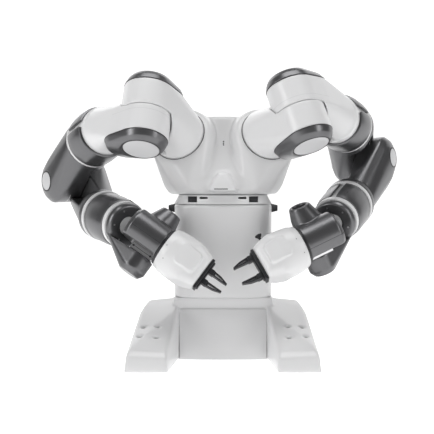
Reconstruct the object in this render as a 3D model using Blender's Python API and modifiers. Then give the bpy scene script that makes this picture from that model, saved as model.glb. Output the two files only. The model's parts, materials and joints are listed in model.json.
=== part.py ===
"""Dual-arm collaborative robot on a pedestal with two splayed feet.

Metres, +Z up, the front of the robot faces -Y.  Each arm has seven turning
joints and a two-finger gripper.  Every link hangs from an empty that sits on
its joint, with the joint's axis as the empty's Z.
"""
import math

import bmesh
import bpy
from mathutils import Euler, Matrix, Vector

for existing in list(bpy.data.objects):
    bpy.data.objects.remove(existing, do_unlink=True)

# Clearances and facet counts
GAP = 0.0003
SCOOP_GAP = 0.0020
ROUND = 24
SMALL_ROUND = 16

# Pedestal and torso
FOOT_FRONT_Y = -0.270
BASE_BACK_Y = 0.180
FOOT_TOE_HEIGHT = 0.028
FOOT_TOP_HEIGHT = 0.103
FOOT_BACK_HEIGHT = 0.078
COLUMN_BASE_Z = 0.111
COLUMN_HALF_WIDTH = 0.0875
FOOT_OUTER_X = COLUMN_HALF_WIDTH + 0.0785
FOOT_INNER_X = COLUMN_HALF_WIDTH + 0.0045
COLUMN_FRONT_Y = -0.118
COLUMN_BACK_Y = 0.120
COLUMN_SPLIT_Y = -0.020
COLUMN_TOP_Z = 0.2765
COLUMN_WALL = 0.0055
CABINET_FLOOR = 0.1170
LATCH_Z = 0.2590
TORSO_BOTTOM_Z = 0.2925
TORSO_TOP_Z = 0.4325

# Shoulder seats
SHOULDER_X = 0.0725
SHOULDER_Y = -0.05355
SHOULDER_Z = 0.38962
SHOULDER_ROLL = 0.9788
SHOULDER_PITCH = -0.5699
SHOULDER_YAW = 2.3168 - math.pi / 2.0
SEAT_HEIGHT = 0.0180
SEAT_RADIUS = 0.0500
SHOULDER_FLANGE_RADIUS = 0.0475

# Joint offsets of one arm
SHOULDER_BEND_OUT = 0.0300
SHOULDER_BEND_UP = 0.1000
UPPER_ROLL_BACK = 0.0300
UPPER_ROLL_ALONG = 0.17283
ELBOW_BACK = 0.04188
ELBOW_UP = 0.07873
FOREARM_ROLL_OUT = 0.0405
FOREARM_ROLL_ALONG = 0.16461
WRIST_BEND_BACK = 0.0270
WRIST_BEND_ALONG = 0.10039
TOOL_ROLL_OUT = 0.0270
TOOL_ROLL_ALONG = 0.0290

# Joint angles of the pose in the photograph, in degrees from shoulder to tool
RIGHT_TURNS = (42.5, -130.0, -110.0, 59.5, -127.5, 50.0, -95.5)
LEFT_TURNS = (-30.5, -133.0, 110.0, 57.0, 100.0, 49.5, -54.5)

# Shoulder bend housings
BEND_RADIUS = 0.0450
BEND_HALF = 0.0500
BEND_TAIL_RADIUS = 0.0400
CAP_SHOULDER = 0.0610
CAP_TOP = 0.0690
DISC_RADIUS = 0.0320
DISC_DEPTH = 0.0050

# Upper arm
UPPER_SEAM = UPPER_ROLL_ALONG - 0.0054
UPPER_TUBE_RADIUS = 0.0440
UPPER_FLANGE_RADIUS = UPPER_TUBE_RADIUS + 0.0040
UPPER_COVER_RADIUS = UPPER_TUBE_RADIUS + 0.0060
STRIPE_WIDTH = 0.0110

# Elbow housings
ELBOW_RADIUS = 0.0400
ELBOW_HALF = 0.0430
ELBOW_DOME = 0.0580
ELBOW_TAIL_RADIUS = 0.0340
ELBOW_FLANGE_RADIUS = 0.0465
ELBOW_DISC_RADIUS = 0.0165

# Forearm, measured along its roll axis
FOREARM_START = -0.0410
FOREARM_RING_END = -0.0340
FOREARM_COVER_END = 0.0295
FOREARM_FRAME_END = 0.0400
FORK_END = 0.0530
FOREARM_RADIUS = 0.0395
FOREARM_COVER_RADIUS = FOREARM_RADIUS + 0.0050
FOREARM_FLANGE_RADIUS = FOREARM_RADIUS + 0.0060
FOREARM_CORE_RADIUS = 0.0165
FOREARM_STRIPE_ANGLE = 78.0

# Wrist
FORK_GAP = 0.0330
FORK_OUTER = 0.0700
FORK_RADIUS = 0.0255
CASING_RADIUS = 0.0320
CASING_BOTTOM = -0.0220
CASING_TOP = 0.0140
DRUM_RADIUS = 0.0345
DRUM_BACK = -0.0450
CONE_END = 0.0600
CONE_RADIUS = 0.0185
CUP_DEPTH = 0.0120
CASING_FACE = 0.0258
CASING_NECK_RADIUS = 0.0325
WRIST_DISC_RADIUS = 0.0122

# Gripper, measured along the tool axis
FLANGE_START = -0.0028
FLANGE_END = 0.0004
TOOL_FLANGE_RADIUS = 0.0350
BODY_RADIUS = 0.0425
BODY_FRONT = 0.0800
PLATE_END = 0.0850
RAIL_END = 0.0880
FINGER_ROOT_END = 0.0960
FINGER_TIP = 0.1245
RIGHT_OPENING = 0.0110
LEFT_OPENING = 0.0185
CUP_HEIGHT = 0.0575

SHELL_WHITE = ((0.82, 0.82, 0.83), 0.0, 0.38)
CAST_GREY = ((0.20, 0.20, 0.21), 0.6, 0.36)
DISC_GREY = ((0.68, 0.68, 0.70), 0.0, 0.42)
DARK_PLASTIC = ((0.045, 0.045, 0.05), 0.0, 0.45)
STEEL = ((0.72, 0.72, 0.74), 1.0, 0.28)
BOARD_GREEN = ((0.05, 0.22, 0.10), 0.0, 0.50)

parts = bpy.data.collections.new("dual_arm_robot")
cutters = bpy.data.collections.new("cutters")
bpy.context.scene.collection.children.link(parts)
bpy.context.scene.collection.children.link(cutters)


def move(x, y, z):
    return Matrix.Translation((x, y, z))


def turn(degrees, axis):
    return Matrix.Rotation(math.radians(degrees), 4, axis)


def joint_empty(name, parent, local):
    made = bpy.data.objects.new(name, None)
    parts.objects.link(made)
    made.parent = parent
    made.matrix_local = local
    made.empty_display_size = 0.03
    return made


def finish(name, mesh, parent, local, look):
    """Link a mesh as a part with its own material, or as a cutter if it has no look."""
    made = bpy.data.objects.new(name, mesh)
    if look is None:
        cutters.objects.link(made)
        made.hide_render = True
        made.display_type = "WIRE"
    else:
        parts.objects.link(made)
        colour, metallic, roughness = look
        finish_material = bpy.data.materials.new(name + "_finish")
        finish_material.use_nodes = True
        shader = finish_material.node_tree.nodes["Principled BSDF"]
        shader.inputs["Base Color"].default_value = (*colour, 1.0)
        shader.inputs["Metallic"].default_value = metallic
        shader.inputs["Roughness"].default_value = roughness
        mesh.materials.append(finish_material)
    made.parent = parent
    made.matrix_local = local
    return made


def finish_bmesh(name, tool, parent, local, look):
    mesh = bpy.data.meshes.new(name)
    tool.to_mesh(mesh)
    tool.free()
    mesh.shade_smooth()
    mesh.set_sharp_from_angle(angle=math.radians(28.0))
    return finish(name, mesh, parent, local, look)


def ring(centre, radius, axis="Z", count=ROUND):
    """Points of a circle about a line through centre along the named axis."""
    points = []
    for index in range(count):
        angle = 2.0 * math.pi * index / count
        first = radius * math.cos(angle)
        second = radius * math.sin(angle)
        offset = {"X": (0.0, first, second), "Y": (first, 0.0, second), "Z": (first, second, 0.0)}[axis]
        points.append(Vector(centre) + Vector(offset))
    return points


def egg(z, radius, tail, tail_radius):
    """Egg outline at height z: a circle on the joint axis and a smaller one at tail."""
    return ring((0.0, 0.0, z), radius) + ring((tail[0], tail[1], z), tail_radius)


def mirrored(points):
    """The points together with their mirror images across X = 0."""
    both = [Vector(point) for point in points]
    return both + [Vector((-point[0], point[1], point[2])) for point in points]


def skin(name, points, parent, local, look=None):
    """Convex shell stretched round a cage of points."""
    tool = bmesh.new()
    for point in points:
        tool.verts.new(point)
    bmesh.ops.remove_doubles(tool, verts=tool.verts, dist=0.00002)
    shell = bmesh.ops.convex_hull(tool, input=tool.verts)
    inner = [item for item in shell["geom_interior"] + shell["geom_unused"] if isinstance(item, bmesh.types.BMVert)]
    bmesh.ops.delete(tool, geom=list(set(inner)), context="VERTS")
    bmesh.ops.dissolve_limit(tool, angle_limit=math.radians(0.5), verts=tool.verts, edges=tool.edges)
    bmesh.ops.recalc_face_normals(tool, faces=tool.faces)
    return finish_bmesh(name, tool, parent, local, look)


def block(name, low, high, parent, local, look=None):
    tool = bmesh.new()
    centre = [(first + last) / 2.0 for first, last in zip(low, high)]
    size = [abs(last - first) for first, last in zip(low, high)]
    bmesh.ops.create_cube(tool, size=1.0, matrix=move(*centre) @ Matrix.Diagonal((*size, 1.0)))
    return finish_bmesh(name, tool, parent, local, look)


def rod(name, start, end, radius, parent, local, look=None, count=ROUND):
    """Cylinder between two points that differ along one axis."""
    tool = bmesh.new()
    along = Vector(end) - Vector(start)
    place = move(*((Vector(start) + Vector(end)) / 2.0)) @ along.to_track_quat("Z", "Y").to_matrix().to_4x4()
    bmesh.ops.create_cone(
        tool, cap_ends=True, segments=count, radius1=radius, radius2=radius, depth=along.length, matrix=place
    )
    return finish_bmesh(name, tool, parent, local, look)


def turned(name, profile, parent, local, look=None, count=ROUND):
    """Solid of revolution about Z; its profile runs down the outer side."""
    mesh = bpy.data.meshes.new(name)
    closed = profile[0] == profile[-1]
    points = list(profile[:-1]) if closed else [(0.0, profile[0][1])] + list(profile) + [(0.0, profile[-1][1])]
    edges = [(index, index + 1) for index in range(len(points) - 1)]
    if closed:
        edges.append((len(points) - 1, 0))
    mesh.from_pydata([(radius, 0.0, height) for radius, height in points], edges, [])
    made = finish(name, mesh, parent, local, look)
    screw = made.modifiers.new("turn", "SCREW")
    screw.axis = "Z"
    screw.angle = 2.0 * math.pi
    screw.steps = count
    screw.render_steps = count
    screw.use_merge_vertices = True
    screw.merge_threshold = 0.00005
    return made


def combine(target, other, operation):
    modifier = target.modifiers.new(other.name, "BOOLEAN")
    modifier.operation = operation
    modifier.solver = "EXACT"
    modifier.object = other


def cut(target, other):
    combine(target, other, "DIFFERENCE")


def join(target, other):
    combine(target, other, "UNION")


def build_pedestal(root):
    here = Matrix.Identity(4)
    base = block(
        "base_casting",
        (-COLUMN_HALF_WIDTH, COLUMN_FRONT_Y + 0.022, 0.0), (COLUMN_HALF_WIDTH, COLUMN_BACK_Y, COLUMN_BASE_Z),
        root, here, SHELL_WHITE,
    )
    for side in (-1.0, 1.0):
        toe = [(x, FOOT_FRONT_Y, 0.0) for x in (FOOT_INNER_X, FOOT_OUTER_X)]
        toe += [(FOOT_INNER_X + 0.0020, FOOT_FRONT_Y + 0.002, FOOT_TOE_HEIGHT - 0.004)]
        toe += [(FOOT_OUTER_X - 0.0035, FOOT_FRONT_Y + 0.002, FOOT_TOE_HEIGHT)]
        toe += [(FOOT_INNER_X + 0.0040, FOOT_FRONT_Y + 0.014, FOOT_TOE_HEIGHT + 0.006)]
        toe += [(FOOT_OUTER_X - 0.0080, FOOT_FRONT_Y + 0.014, FOOT_TOE_HEIGHT + 0.009)]
        near = COLUMN_HALF_WIDTH - 0.0055
        toe += [(near - 0.0040, -0.0960, z) for z in (0.0, FOOT_TOP_HEIGHT - 0.006)]
        toe += [(near, -0.0720, FOOT_TOP_HEIGHT - 0.001), (FOOT_OUTER_X - 0.0180, -0.0860, FOOT_TOP_HEIGHT - 0.022)]
        toe += [(FOOT_OUTER_X - 0.0260, -0.0700, FOOT_TOP_HEIGHT - 0.009)]
        toe += [(FOOT_OUTER_X - 0.0320, -0.0300, FOOT_TOP_HEIGHT - 0.004), (near, -0.0200, FOOT_TOP_HEIGHT)]
        toe += [(FOOT_OUTER_X + 0.0040, y, 0.0) for y in (-0.0500, BASE_BACK_Y)]
        toe += [(FOOT_OUTER_X - 0.0320, BASE_BACK_Y - 0.004, FOOT_BACK_HEIGHT - 0.004)]
        toe += [(near - 0.0220, BASE_BACK_Y, 0.0), (near - 0.0220, BASE_BACK_Y - 0.003, FOOT_BACK_HEIGHT)]
        join(base, skin("foot_form", [Vector((side * x, y, z)) for x, y, z in toe], root, here))
        middle = (FOOT_INNER_X + FOOT_OUTER_X) / 2.0
        for x, y in ((0.0130, -0.205), (-0.0150, -0.209), (0.0080, -0.168), (-0.0160, -0.172)):
            height = FOOT_TOE_HEIGHT + 0.0080 + (y + 0.256) * 0.34
            spot = move(side * (middle + x), y, height) @ turn(18.0, "X")
            cut(base, rod("foot_hole", (0.0, 0.0, -0.0100), (0.0, 0.0, 0.0300), 0.0044, root, spot, None, 12))

    panel = [(COLUMN_HALF_WIDTH - 0.0100, COLUMN_FRONT_Y + 0.0150, z) for z in (0.0, 0.0260)]
    panel += [(COLUMN_HALF_WIDTH - 0.0100, COLUMN_FRONT_Y + 0.0217, z) for z in (0.0, 0.0900)]
    panel += [(COLUMN_HALF_WIDTH - 0.0100, COLUMN_FRONT_Y + 0.0190, 0.0900)]
    panel += [(COLUMN_HALF_WIDTH * 0.46, COLUMN_FRONT_Y + 0.0110, z) for z in (0.0, 0.0260)]
    skin("front_panel", mirrored(panel), root, here, SHELL_WHITE)

    outline = ((COLUMN_HALF_WIDTH, COLUMN_SPLIT_Y), (COLUMN_HALF_WIDTH, -0.0850))
    outline += ((COLUMN_HALF_WIDTH - 0.0075, -0.1020), (COLUMN_HALF_WIDTH * 0.51, -0.1120))
    cover = [(x, y, z) for x, y in outline + ((0.0, -0.1150),) for z in (COLUMN_BASE_Z + GAP, COLUMN_TOP_Z - 0.004)]
    cover += [(x * 0.96, y * 0.96, COLUMN_TOP_Z) for x, y in outline[1:]]
    cover += [(x * 0.96, y, COLUMN_TOP_Z) for x, y in outline[:1]]
    front = skin("column_cover", mirrored(cover), root, here, SHELL_WHITE)
    inner = COLUMN_HALF_WIDTH - COLUMN_WALL
    cut(front, block("cover_hollow", (-inner, -0.0840, 0.05), (inner, 0.05, COLUMN_TOP_Z - 0.005), root, here))
    for side in (-1.0, 1.0):
        near, far = COLUMN_HALF_WIDTH - 0.0025, COLUMN_HALF_WIDTH + 0.0110
        latch = [(near, y, z) for y in (-0.0480, -0.0220) for z in (LATCH_Z, LATCH_Z + 0.0160)]
        latch += [(far, y, z) for y in (-0.0420, -0.0280) for z in (LATCH_Z + 0.0030, LATCH_Z + 0.0130)]
        join(front, skin("latch_form", [Vector((side * x, y, z)) for x, y, z in latch], root, here))

    split = COLUMN_SPLIT_Y + GAP
    levels = (COLUMN_BASE_Z + GAP, COLUMN_TOP_Z - 0.004)
    cabinet = [(COLUMN_HALF_WIDTH, y, z) for y in (split, COLUMN_BACK_Y - 0.012) for z in levels]
    cabinet += [(COLUMN_HALF_WIDTH - 0.0035, y, COLUMN_TOP_Z) for y in (split, COLUMN_BACK_Y - 0.014)]
    cabinet += [(COLUMN_HALF_WIDTH - 0.0115, COLUMN_BACK_Y, z) for z in (COLUMN_BASE_Z + GAP, COLUMN_TOP_Z - 0.012)]
    rear = skin("rear_cabinet", mirrored(cabinet), root, here, SHELL_WHITE)
    room = ((-inner, -0.05, CABINET_FLOOR), (inner, 0.1060, COLUMN_TOP_Z - 0.005))
    cut(rear, block("cabinet_hollow", room[0], room[1], root, here))
    cut(rear, block("socket_opening", (-0.0603, 0.0900, 0.1297), (0.0603, 0.1400, 0.1753), root, here))

    sockets = block("connector_panel", (-0.0600, 0.1063, 0.1300), (0.0600, 0.1180, 0.1750), root, here, DARK_PLASTIC)
    for x in (-0.042, -0.014, 0.014, 0.042):
        cut(sockets, rod("socket_bore", (x, 0.1120, 0.1525), (x, 0.1400, 0.1525), 0.0080, root, here, None, 16))
    low = CABINET_FLOOR + GAP
    board = block("control_board", (-0.0700, 0.0200, low), (0.0700, 0.0220, 0.2450), root, here, BOARD_GREEN)
    join(board, block("chip_form", (-0.0300, 0.0140, 0.1700), (0.0100, 0.0205, 0.2100), root, here))
    join(board, block("relay_form", (0.0250, 0.0100, 0.1350), (0.0600, 0.0205, 0.1600), root, here))
    block("power_supply", (-0.0600, 0.0400, low), (0.0600, 0.0800, 0.1900), root, here, STEEL)
    fan = block("cooling_fan", (-0.0300, 0.0500, 0.1903), (0.0300, 0.0700, 0.2500), root, here, DARK_PLASTIC)
    cut(fan, rod("fan_bore", (0.0, 0.0400, 0.2200), (0.0, 0.0900, 0.2200), 0.0260, root, here))
    join(fan, rod("fan_hub", (0.0, 0.0520, 0.2200), (0.0, 0.0680, 0.2200), 0.0110, root, here, None, 16))
    for angle in (0.0, 60.0, 120.0):
        at = move(0.0, 0.0600, 0.2200) @ turn(angle, "Y") @ turn(24.0, "X")
        join(fan, block("fan_blade", (-0.0270, -0.0015, -0.0060), (0.0270, 0.0015, 0.0060), root, at))

    low = COLUMN_TOP_Z + GAP
    high = TORSO_BOTTOM_Z - GAP
    plate = []
    for inset, z in ((0.0006, low), (0.0090, high)):
        wide = COLUMN_HALF_WIDTH - inset
        plate += [(wide, 0.0700, z), (wide, -0.0800, z), (wide - 0.0085, -0.1010 + inset, z)]
        plate += [(wide * 0.51, -0.1115 + inset, z), (0.0, -0.1145 + inset, z)]
    waist = skin("waist_plate", mirrored(plate), root, here, SHELL_WHITE)
    for side in (-1.0, 1.0):
        slot = []
        for y in (-0.1200, -0.0960):
            slot += ring((side * 0.0285, y, high - 0.0046), 0.0018, "Y", 12)
            slot += ring((side * 0.0395, y, high - 0.0046), 0.0022, "Y", 12)
        cut(waist, skin("waist_slot", slot, root, here))
        near, far = side * 0.0460, side * 0.0620
        cut(waist, block("waist_pocket", (near, -0.1200, low + 0.0030), (far, -0.0900, high - 0.0020), root, here))


def build_torso(root, seats):
    here = Matrix.Identity(4)
    shape = [(0.0340, -0.0350, TORSO_TOP_Z), (0.0450, 0.0350, TORSO_TOP_Z - 0.004)]
    shape += [(0.0840, 0.0500, TORSO_TOP_Z - 0.030), (0.1120, 0.0350, 0.3700)]
    shape += [(0.1180, -0.0200, 0.3520), (0.1130, 0.0600, 0.3300)]
    shape += [(0.1120, -0.0450, 0.3280), (0.1060, -0.0500, 0.3060)]
    shape += [(0.0955, -0.0600, TORSO_BOTTOM_Z), (0.0800, -0.0880, TORSO_BOTTOM_Z)]
    shape += [(0.0955, 0.0700, TORSO_BOTTOM_Z), (0.0800, 0.0850, TORSO_BOTTOM_Z)]
    shape += [(0.0500, 0.0900, 0.3900), (0.0500, 0.0950, 0.3300)]
    shape += [(0.0400, -0.1010, TORSO_BOTTOM_Z), (0.0600, -0.1060, 0.3060)]
    torso = skin("torso_shell", mirrored(shape), root, here, SHELL_WHITE)
    for side, seat in zip((-1.0, 1.0), seats):
        form = ring((0.0, 0.0, SEAT_HEIGHT), SEAT_RADIUS) + ring((0.0, 0.0, SEAT_HEIGHT - 0.0050), SEAT_RADIUS + 0.0070)
        form += ring((0.0, 0.0, SEAT_HEIGHT - 0.0250), SEAT_RADIUS + 0.0120)
        form = [seat @ point for point in form] + [Vector((side * x, y, z)) for x, y, z in shape[2:]]
        join(torso, skin("shoulder_form", form, root, here))
    nose = [(0.0300, -0.1080, 0.2990), (0.0250, -0.1210, 0.3010), (0.0080, -0.1130, 0.3330)]
    nose += [(0.0180, -0.1200, 0.3150), (0.0200, -0.0600, 0.2990), (0.0080, -0.0600, 0.3330)]
    join(torso, skin("nose_form", mirrored(nose), root, here))
    cut(torso, block("nose_slot", (-0.0120, -0.1400, 0.3026), (0.0120, -0.1180, 0.3040), root, here))
    cut(torso, block("torso_hollow", (-0.0550, -0.0450, 0.2500), (0.0550, 0.0550, 0.3700), root, here))


def bend_end(name, empty, at, side, tail):
    """Cap and disc that close a shoulder bend housing, on the +Z or -Z side."""
    points = egg(side * (BEND_HALF + GAP), BEND_RADIUS, tail, BEND_TAIL_RADIUS)
    points += egg(side * CAP_SHOULDER, BEND_RADIUS - 0.0040, tail, BEND_TAIL_RADIUS - 0.0050)
    points += egg(side * CAP_TOP, DISC_RADIUS + 0.0030, (tail[0] * 0.5, tail[1] * 0.5), 0.0250)
    cap = skin(name + "_cap", points, empty, at, CAST_GREY)
    low = side * (CAP_TOP - DISC_DEPTH)
    cut(cap, rod(name + "_cap_bore", (0.0, 0.0, low), (0.0, 0.0, side * 0.0800), DISC_RADIUS + GAP, empty, at))
    points = ring((0.0, 0.0, low + side * GAP), DISC_RADIUS) + ring((0.0, 0.0, side * CAP_TOP), DISC_RADIUS)
    points += ring((0.0, 0.0, side * (CAP_TOP + 0.0008)), DISC_RADIUS - 0.0020)
    skin(name + "_disc", points, empty, at, DISC_GREY)


def elbow_end(name, empty, at, side):
    """Disc set in the end of an elbow housing, on the +Z or -Z side."""
    start = side * (ELBOW_DOME - 0.0037)
    end = side * (ELBOW_DOME + 0.0005)
    rod(name + "_disc", (0.0, 0.0, start), (0.0, 0.0, end), ELBOW_DISC_RADIUS, empty, at, DISC_GREY, SMALL_ROUND)


def elbow_points(side, tail):
    points = egg(side * -0.0020, ELBOW_RADIUS, tail, ELBOW_TAIL_RADIUS)
    points += egg(side * ELBOW_HALF, ELBOW_RADIUS, tail, ELBOW_TAIL_RADIUS)
    near = (tail[0] * 0.7, tail[1] * 0.7)
    points += egg(side * (ELBOW_HALF + 0.0090), ELBOW_RADIUS - 0.0080, near, ELBOW_TAIL_RADIUS - 0.0080)
    points += ring((0.0, 0.0, side * ELBOW_DOME), ELBOW_DISC_RADIUS + 0.0025, "Z", SMALL_ROUND)
    return points


def scoop(housing, radius, side, low, high, empty, at):
    """Clear the room in which the other half of a bend and its neck turn."""
    start = (0.0, 0.0, side * GAP)
    cut(housing, rod(housing.name + "_scoop", start, (0.0, 0.0, side * -0.1000), radius + SCOOP_GAP, empty, at))
    near, far = (low[0], low[1], side * GAP), (high[0], high[1], side * -0.1000)
    cut(housing, block(housing.name + "_neck_room", near, far, empty, at))


def build_shoulder(word, one, two):
    """First and second links: the shoulder bend and the upper arm."""
    here = Matrix.Identity(4)
    bend = move(SHOULDER_BEND_OUT, 0.0, SHOULDER_BEND_UP) @ turn(90.0, "X")
    tail = (-0.0120, -0.0280)
    seam = -(SHOULDER_BEND_UP - SEAT_HEIGHT - GAP)
    points = egg(-0.0020, BEND_RADIUS, tail, BEND_TAIL_RADIUS) + egg(BEND_HALF, BEND_RADIUS, tail, BEND_TAIL_RADIUS)
    points += ring((-SHOULDER_BEND_OUT, seam, 0.0), SHOULDER_FLANGE_RADIUS, "Y")
    points += ring((-SHOULDER_BEND_OUT, seam + 0.0090, 0.0), SHOULDER_FLANGE_RADIUS, "Y")
    housing = skin(word + "_shoulder_housing", points, one, bend, SHELL_WHITE)
    scoop(housing, BEND_RADIUS, 1.0, (-0.0160, seam + 0.0100), (0.1, 0.1), one, bend)
    cut(housing, rod("drive_room", (0.0, 0.0, 0.0060), (0.0, 0.0, 0.0700), 0.0300, one, bend))
    bend_end(word + "_shoulder", one, bend, 1.0, tail)
    drive = rod(word + "_shoulder_drive", (0.0, 0.0, 0.0063), (0.0, 0.0, 0.0340), 0.0297, one, bend, STEEL)
    join(drive, rod("drive_post", (0.0, 0.0, 0.0300), (0.0, 0.0, 0.0497), 0.0180, one, bend, None, 16))

    tail = (-0.0150, 0.0300)
    points = egg(0.0020, BEND_RADIUS, tail, BEND_TAIL_RADIUS) + egg(-BEND_HALF, BEND_RADIUS, tail, BEND_TAIL_RADIUS)
    points += ring((-UPPER_ROLL_BACK, 0.1050, 0.0), UPPER_TUBE_RADIUS + 0.0005, "Y")
    housing = skin(word + "_upper_arm", points, two, here, SHELL_WHITE)
    scoop(housing, BEND_RADIUS, -1.0, (-0.0180, -0.1), (0.1, 0.0980), two, here)
    tube = move(-UPPER_ROLL_BACK, 0.0, 0.0) @ turn(-90.0, "X")
    profile = [(UPPER_FLANGE_RADIUS, UPPER_SEAM), (UPPER_FLANGE_RADIUS, 0.1612)]
    profile += [(UPPER_TUBE_RADIUS, 0.1600), (UPPER_TUBE_RADIUS, 0.0950)]
    join(housing, turned("upper_tube", profile, two, tube))
    bend_end(word + "_upper_arm", two, here, -1.0, tail)
    inside = UPPER_TUBE_RADIUS + 0.0010
    profile = [(inside, 0.1590), (UPPER_COVER_RADIUS - 0.0012, 0.1588), (UPPER_COVER_RADIUS, 0.1450)]
    profile += [(UPPER_COVER_RADIUS, 0.1250), (UPPER_COVER_RADIUS - 0.0015, 0.1110), (inside, 0.1090), (inside, 0.1590)]
    for label, side in (("front", 1.0), ("rear", -1.0)):
        cover = turned(word + "_upper_cover_" + label, profile, two, tube, CAST_GREY)
        low = (-0.0700, side * STRIPE_WIDTH / 2.0, 0.0800)
        cut(cover, block("upper_stripe", low, (0.0700, side * -0.0700, 0.1900), two, tube))


def build_elbow(word, three, four):
    """Third and fourth links: both halves of the elbow."""
    here = Matrix.Identity(4)
    elbow = move(-ELBOW_BACK, 0.0, ELBOW_UP) @ turn(-90.0, "Y") @ turn(90.0, "X")
    seam = -(ELBOW_UP + 0.0051)
    points = elbow_points(1.0, (-0.0200, -0.0160))
    points += ring((seam, -ELBOW_BACK, 0.0), ELBOW_FLANGE_RADIUS, "X")
    points += ring((seam + 0.0100, -ELBOW_BACK, 0.0), ELBOW_FLANGE_RADIUS, "X")
    housing = skin(word + "_elbow_housing", points, three, elbow, CAST_GREY)
    scoop(housing, ELBOW_RADIUS, 1.0, (seam + 0.0103, -0.0260), (0.1, 0.1), three, elbow)
    start = (0.0, 0.0, ELBOW_DOME - 0.0040)
    cut(housing, rod("disc_seat", start, (0.0, 0.0, 0.0900), ELBOW_DISC_RADIUS + GAP, three, elbow, None, SMALL_ROUND))
    elbow_end(word + "_elbow_housing", three, elbow, 1.0)

    seam = FOREARM_ROLL_ALONG + FOREARM_START - GAP
    points = elbow_points(-1.0, (0.0160, 0.0200)) + ring((FOREARM_ROLL_OUT, 0.1010, 0.0), 0.0400, "Y")
    housing = skin(word + "_elbow_neck", points, four, here, CAST_GREY)
    scoop(housing, ELBOW_RADIUS, -1.0, (-0.1, -0.1), (0.0260, 0.0980), four, here)
    start = (0.0, 0.0, 0.0040 - ELBOW_DOME)
    cut(housing, rod("disc_seat", start, (0.0, 0.0, -0.0900), ELBOW_DISC_RADIUS + GAP, four, here, None, SMALL_ROUND))
    neck = move(FOREARM_ROLL_OUT, 0.0, 0.0) @ turn(-90.0, "X")
    profile = [(FOREARM_FLANGE_RADIUS, seam), (FOREARM_FLANGE_RADIUS, 0.1120), (0.0395, 0.1010), (0.0385, 0.0950)]
    join(housing, turned("neck_flange", profile, four, neck))
    elbow_end(word + "_elbow_neck", four, here, -1.0)


def build_forearm(word, five, mirror):
    """Fifth link: forearm frame, its cover and the one-sided wrist fork."""
    here = Matrix.Identity(4)
    profile = [(FOREARM_CORE_RADIUS, FORK_END - 0.0010), (FOREARM_CORE_RADIUS, FOREARM_FRAME_END)]
    profile += [(0.0415, FOREARM_FRAME_END), (0.0415, FOREARM_COVER_END + 0.0008)]
    profile += [(FOREARM_RADIUS, FOREARM_COVER_END), (FOREARM_RADIUS, FOREARM_RING_END + 0.0010)]
    profile += [(FOREARM_FLANGE_RADIUS, FOREARM_RING_END), (FOREARM_FLANGE_RADIUS, FOREARM_START)]
    frame = turned(word + "_forearm_frame", profile, five, here, SHELL_WHITE)
    cut(frame, rod("cable_hole", (0.0, 0.0, FORK_END - 0.0150), (0.0, 0.0, 0.0900), 0.0050, five, here, None, 16))
    inside = FOREARM_RADIUS + 0.0011
    low = FOREARM_RING_END + 0.0014
    high = FOREARM_COVER_END - 0.0004
    profile = [(inside, high), (FOREARM_COVER_RADIUS - 0.0020, high - 0.0006), (FOREARM_COVER_RADIUS, 0.0120)]
    profile += [(FOREARM_COVER_RADIUS, -0.0100), (FOREARM_COVER_RADIUS - 0.0005, low + 0.0004)]
    profile += [(inside, low), (inside, high)]
    cover = turned(word + "_forearm_cover", profile, five, here, CAST_GREY)
    at = turn(-FOREARM_STRIPE_ANGLE * mirror, "Z")
    half = STRIPE_WIDTH / 2.0
    cut(cover, block("forearm_stripe", (0.0, -half, -0.0700), (0.0700, half, 0.0700), five, at))
    profile = [(0.0365, FORK_END), (FOREARM_RADIUS, FORK_END - 0.0060), (FOREARM_RADIUS, FOREARM_FRAME_END + GAP)]
    fork = turned(word + "_wrist_fork", profile, five, here, CAST_GREY)
    points = []
    for depth in (0.0440, FORK_END - 0.0010):
        points += [Vector((x, mirror * 0.0332, depth)) for x in (-0.0230, 0.0200)]
        points += [Vector((x, mirror * 0.0400, depth)) for x in (-0.0140, 0.0100)]
    inner, outer = mirror * FORK_GAP, mirror * FORK_OUTER
    points += ring((-WRIST_BEND_BACK, inner, WRIST_BEND_ALONG), FORK_RADIUS, "Y")
    points += ring((-WRIST_BEND_BACK, outer - mirror * 0.0100, WRIST_BEND_ALONG), FORK_RADIUS, "Y")
    points += ring((-WRIST_BEND_BACK, outer, WRIST_BEND_ALONG), FORK_RADIUS - 0.0070, "Y")
    join(fork, skin("fork_arm", points, five, here))
    cut(fork, rod("core_hole", (0.0, 0.0, 0.0100), (0.0, 0.0, 0.0900), FOREARM_CORE_RADIUS + GAP, five, here))


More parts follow.
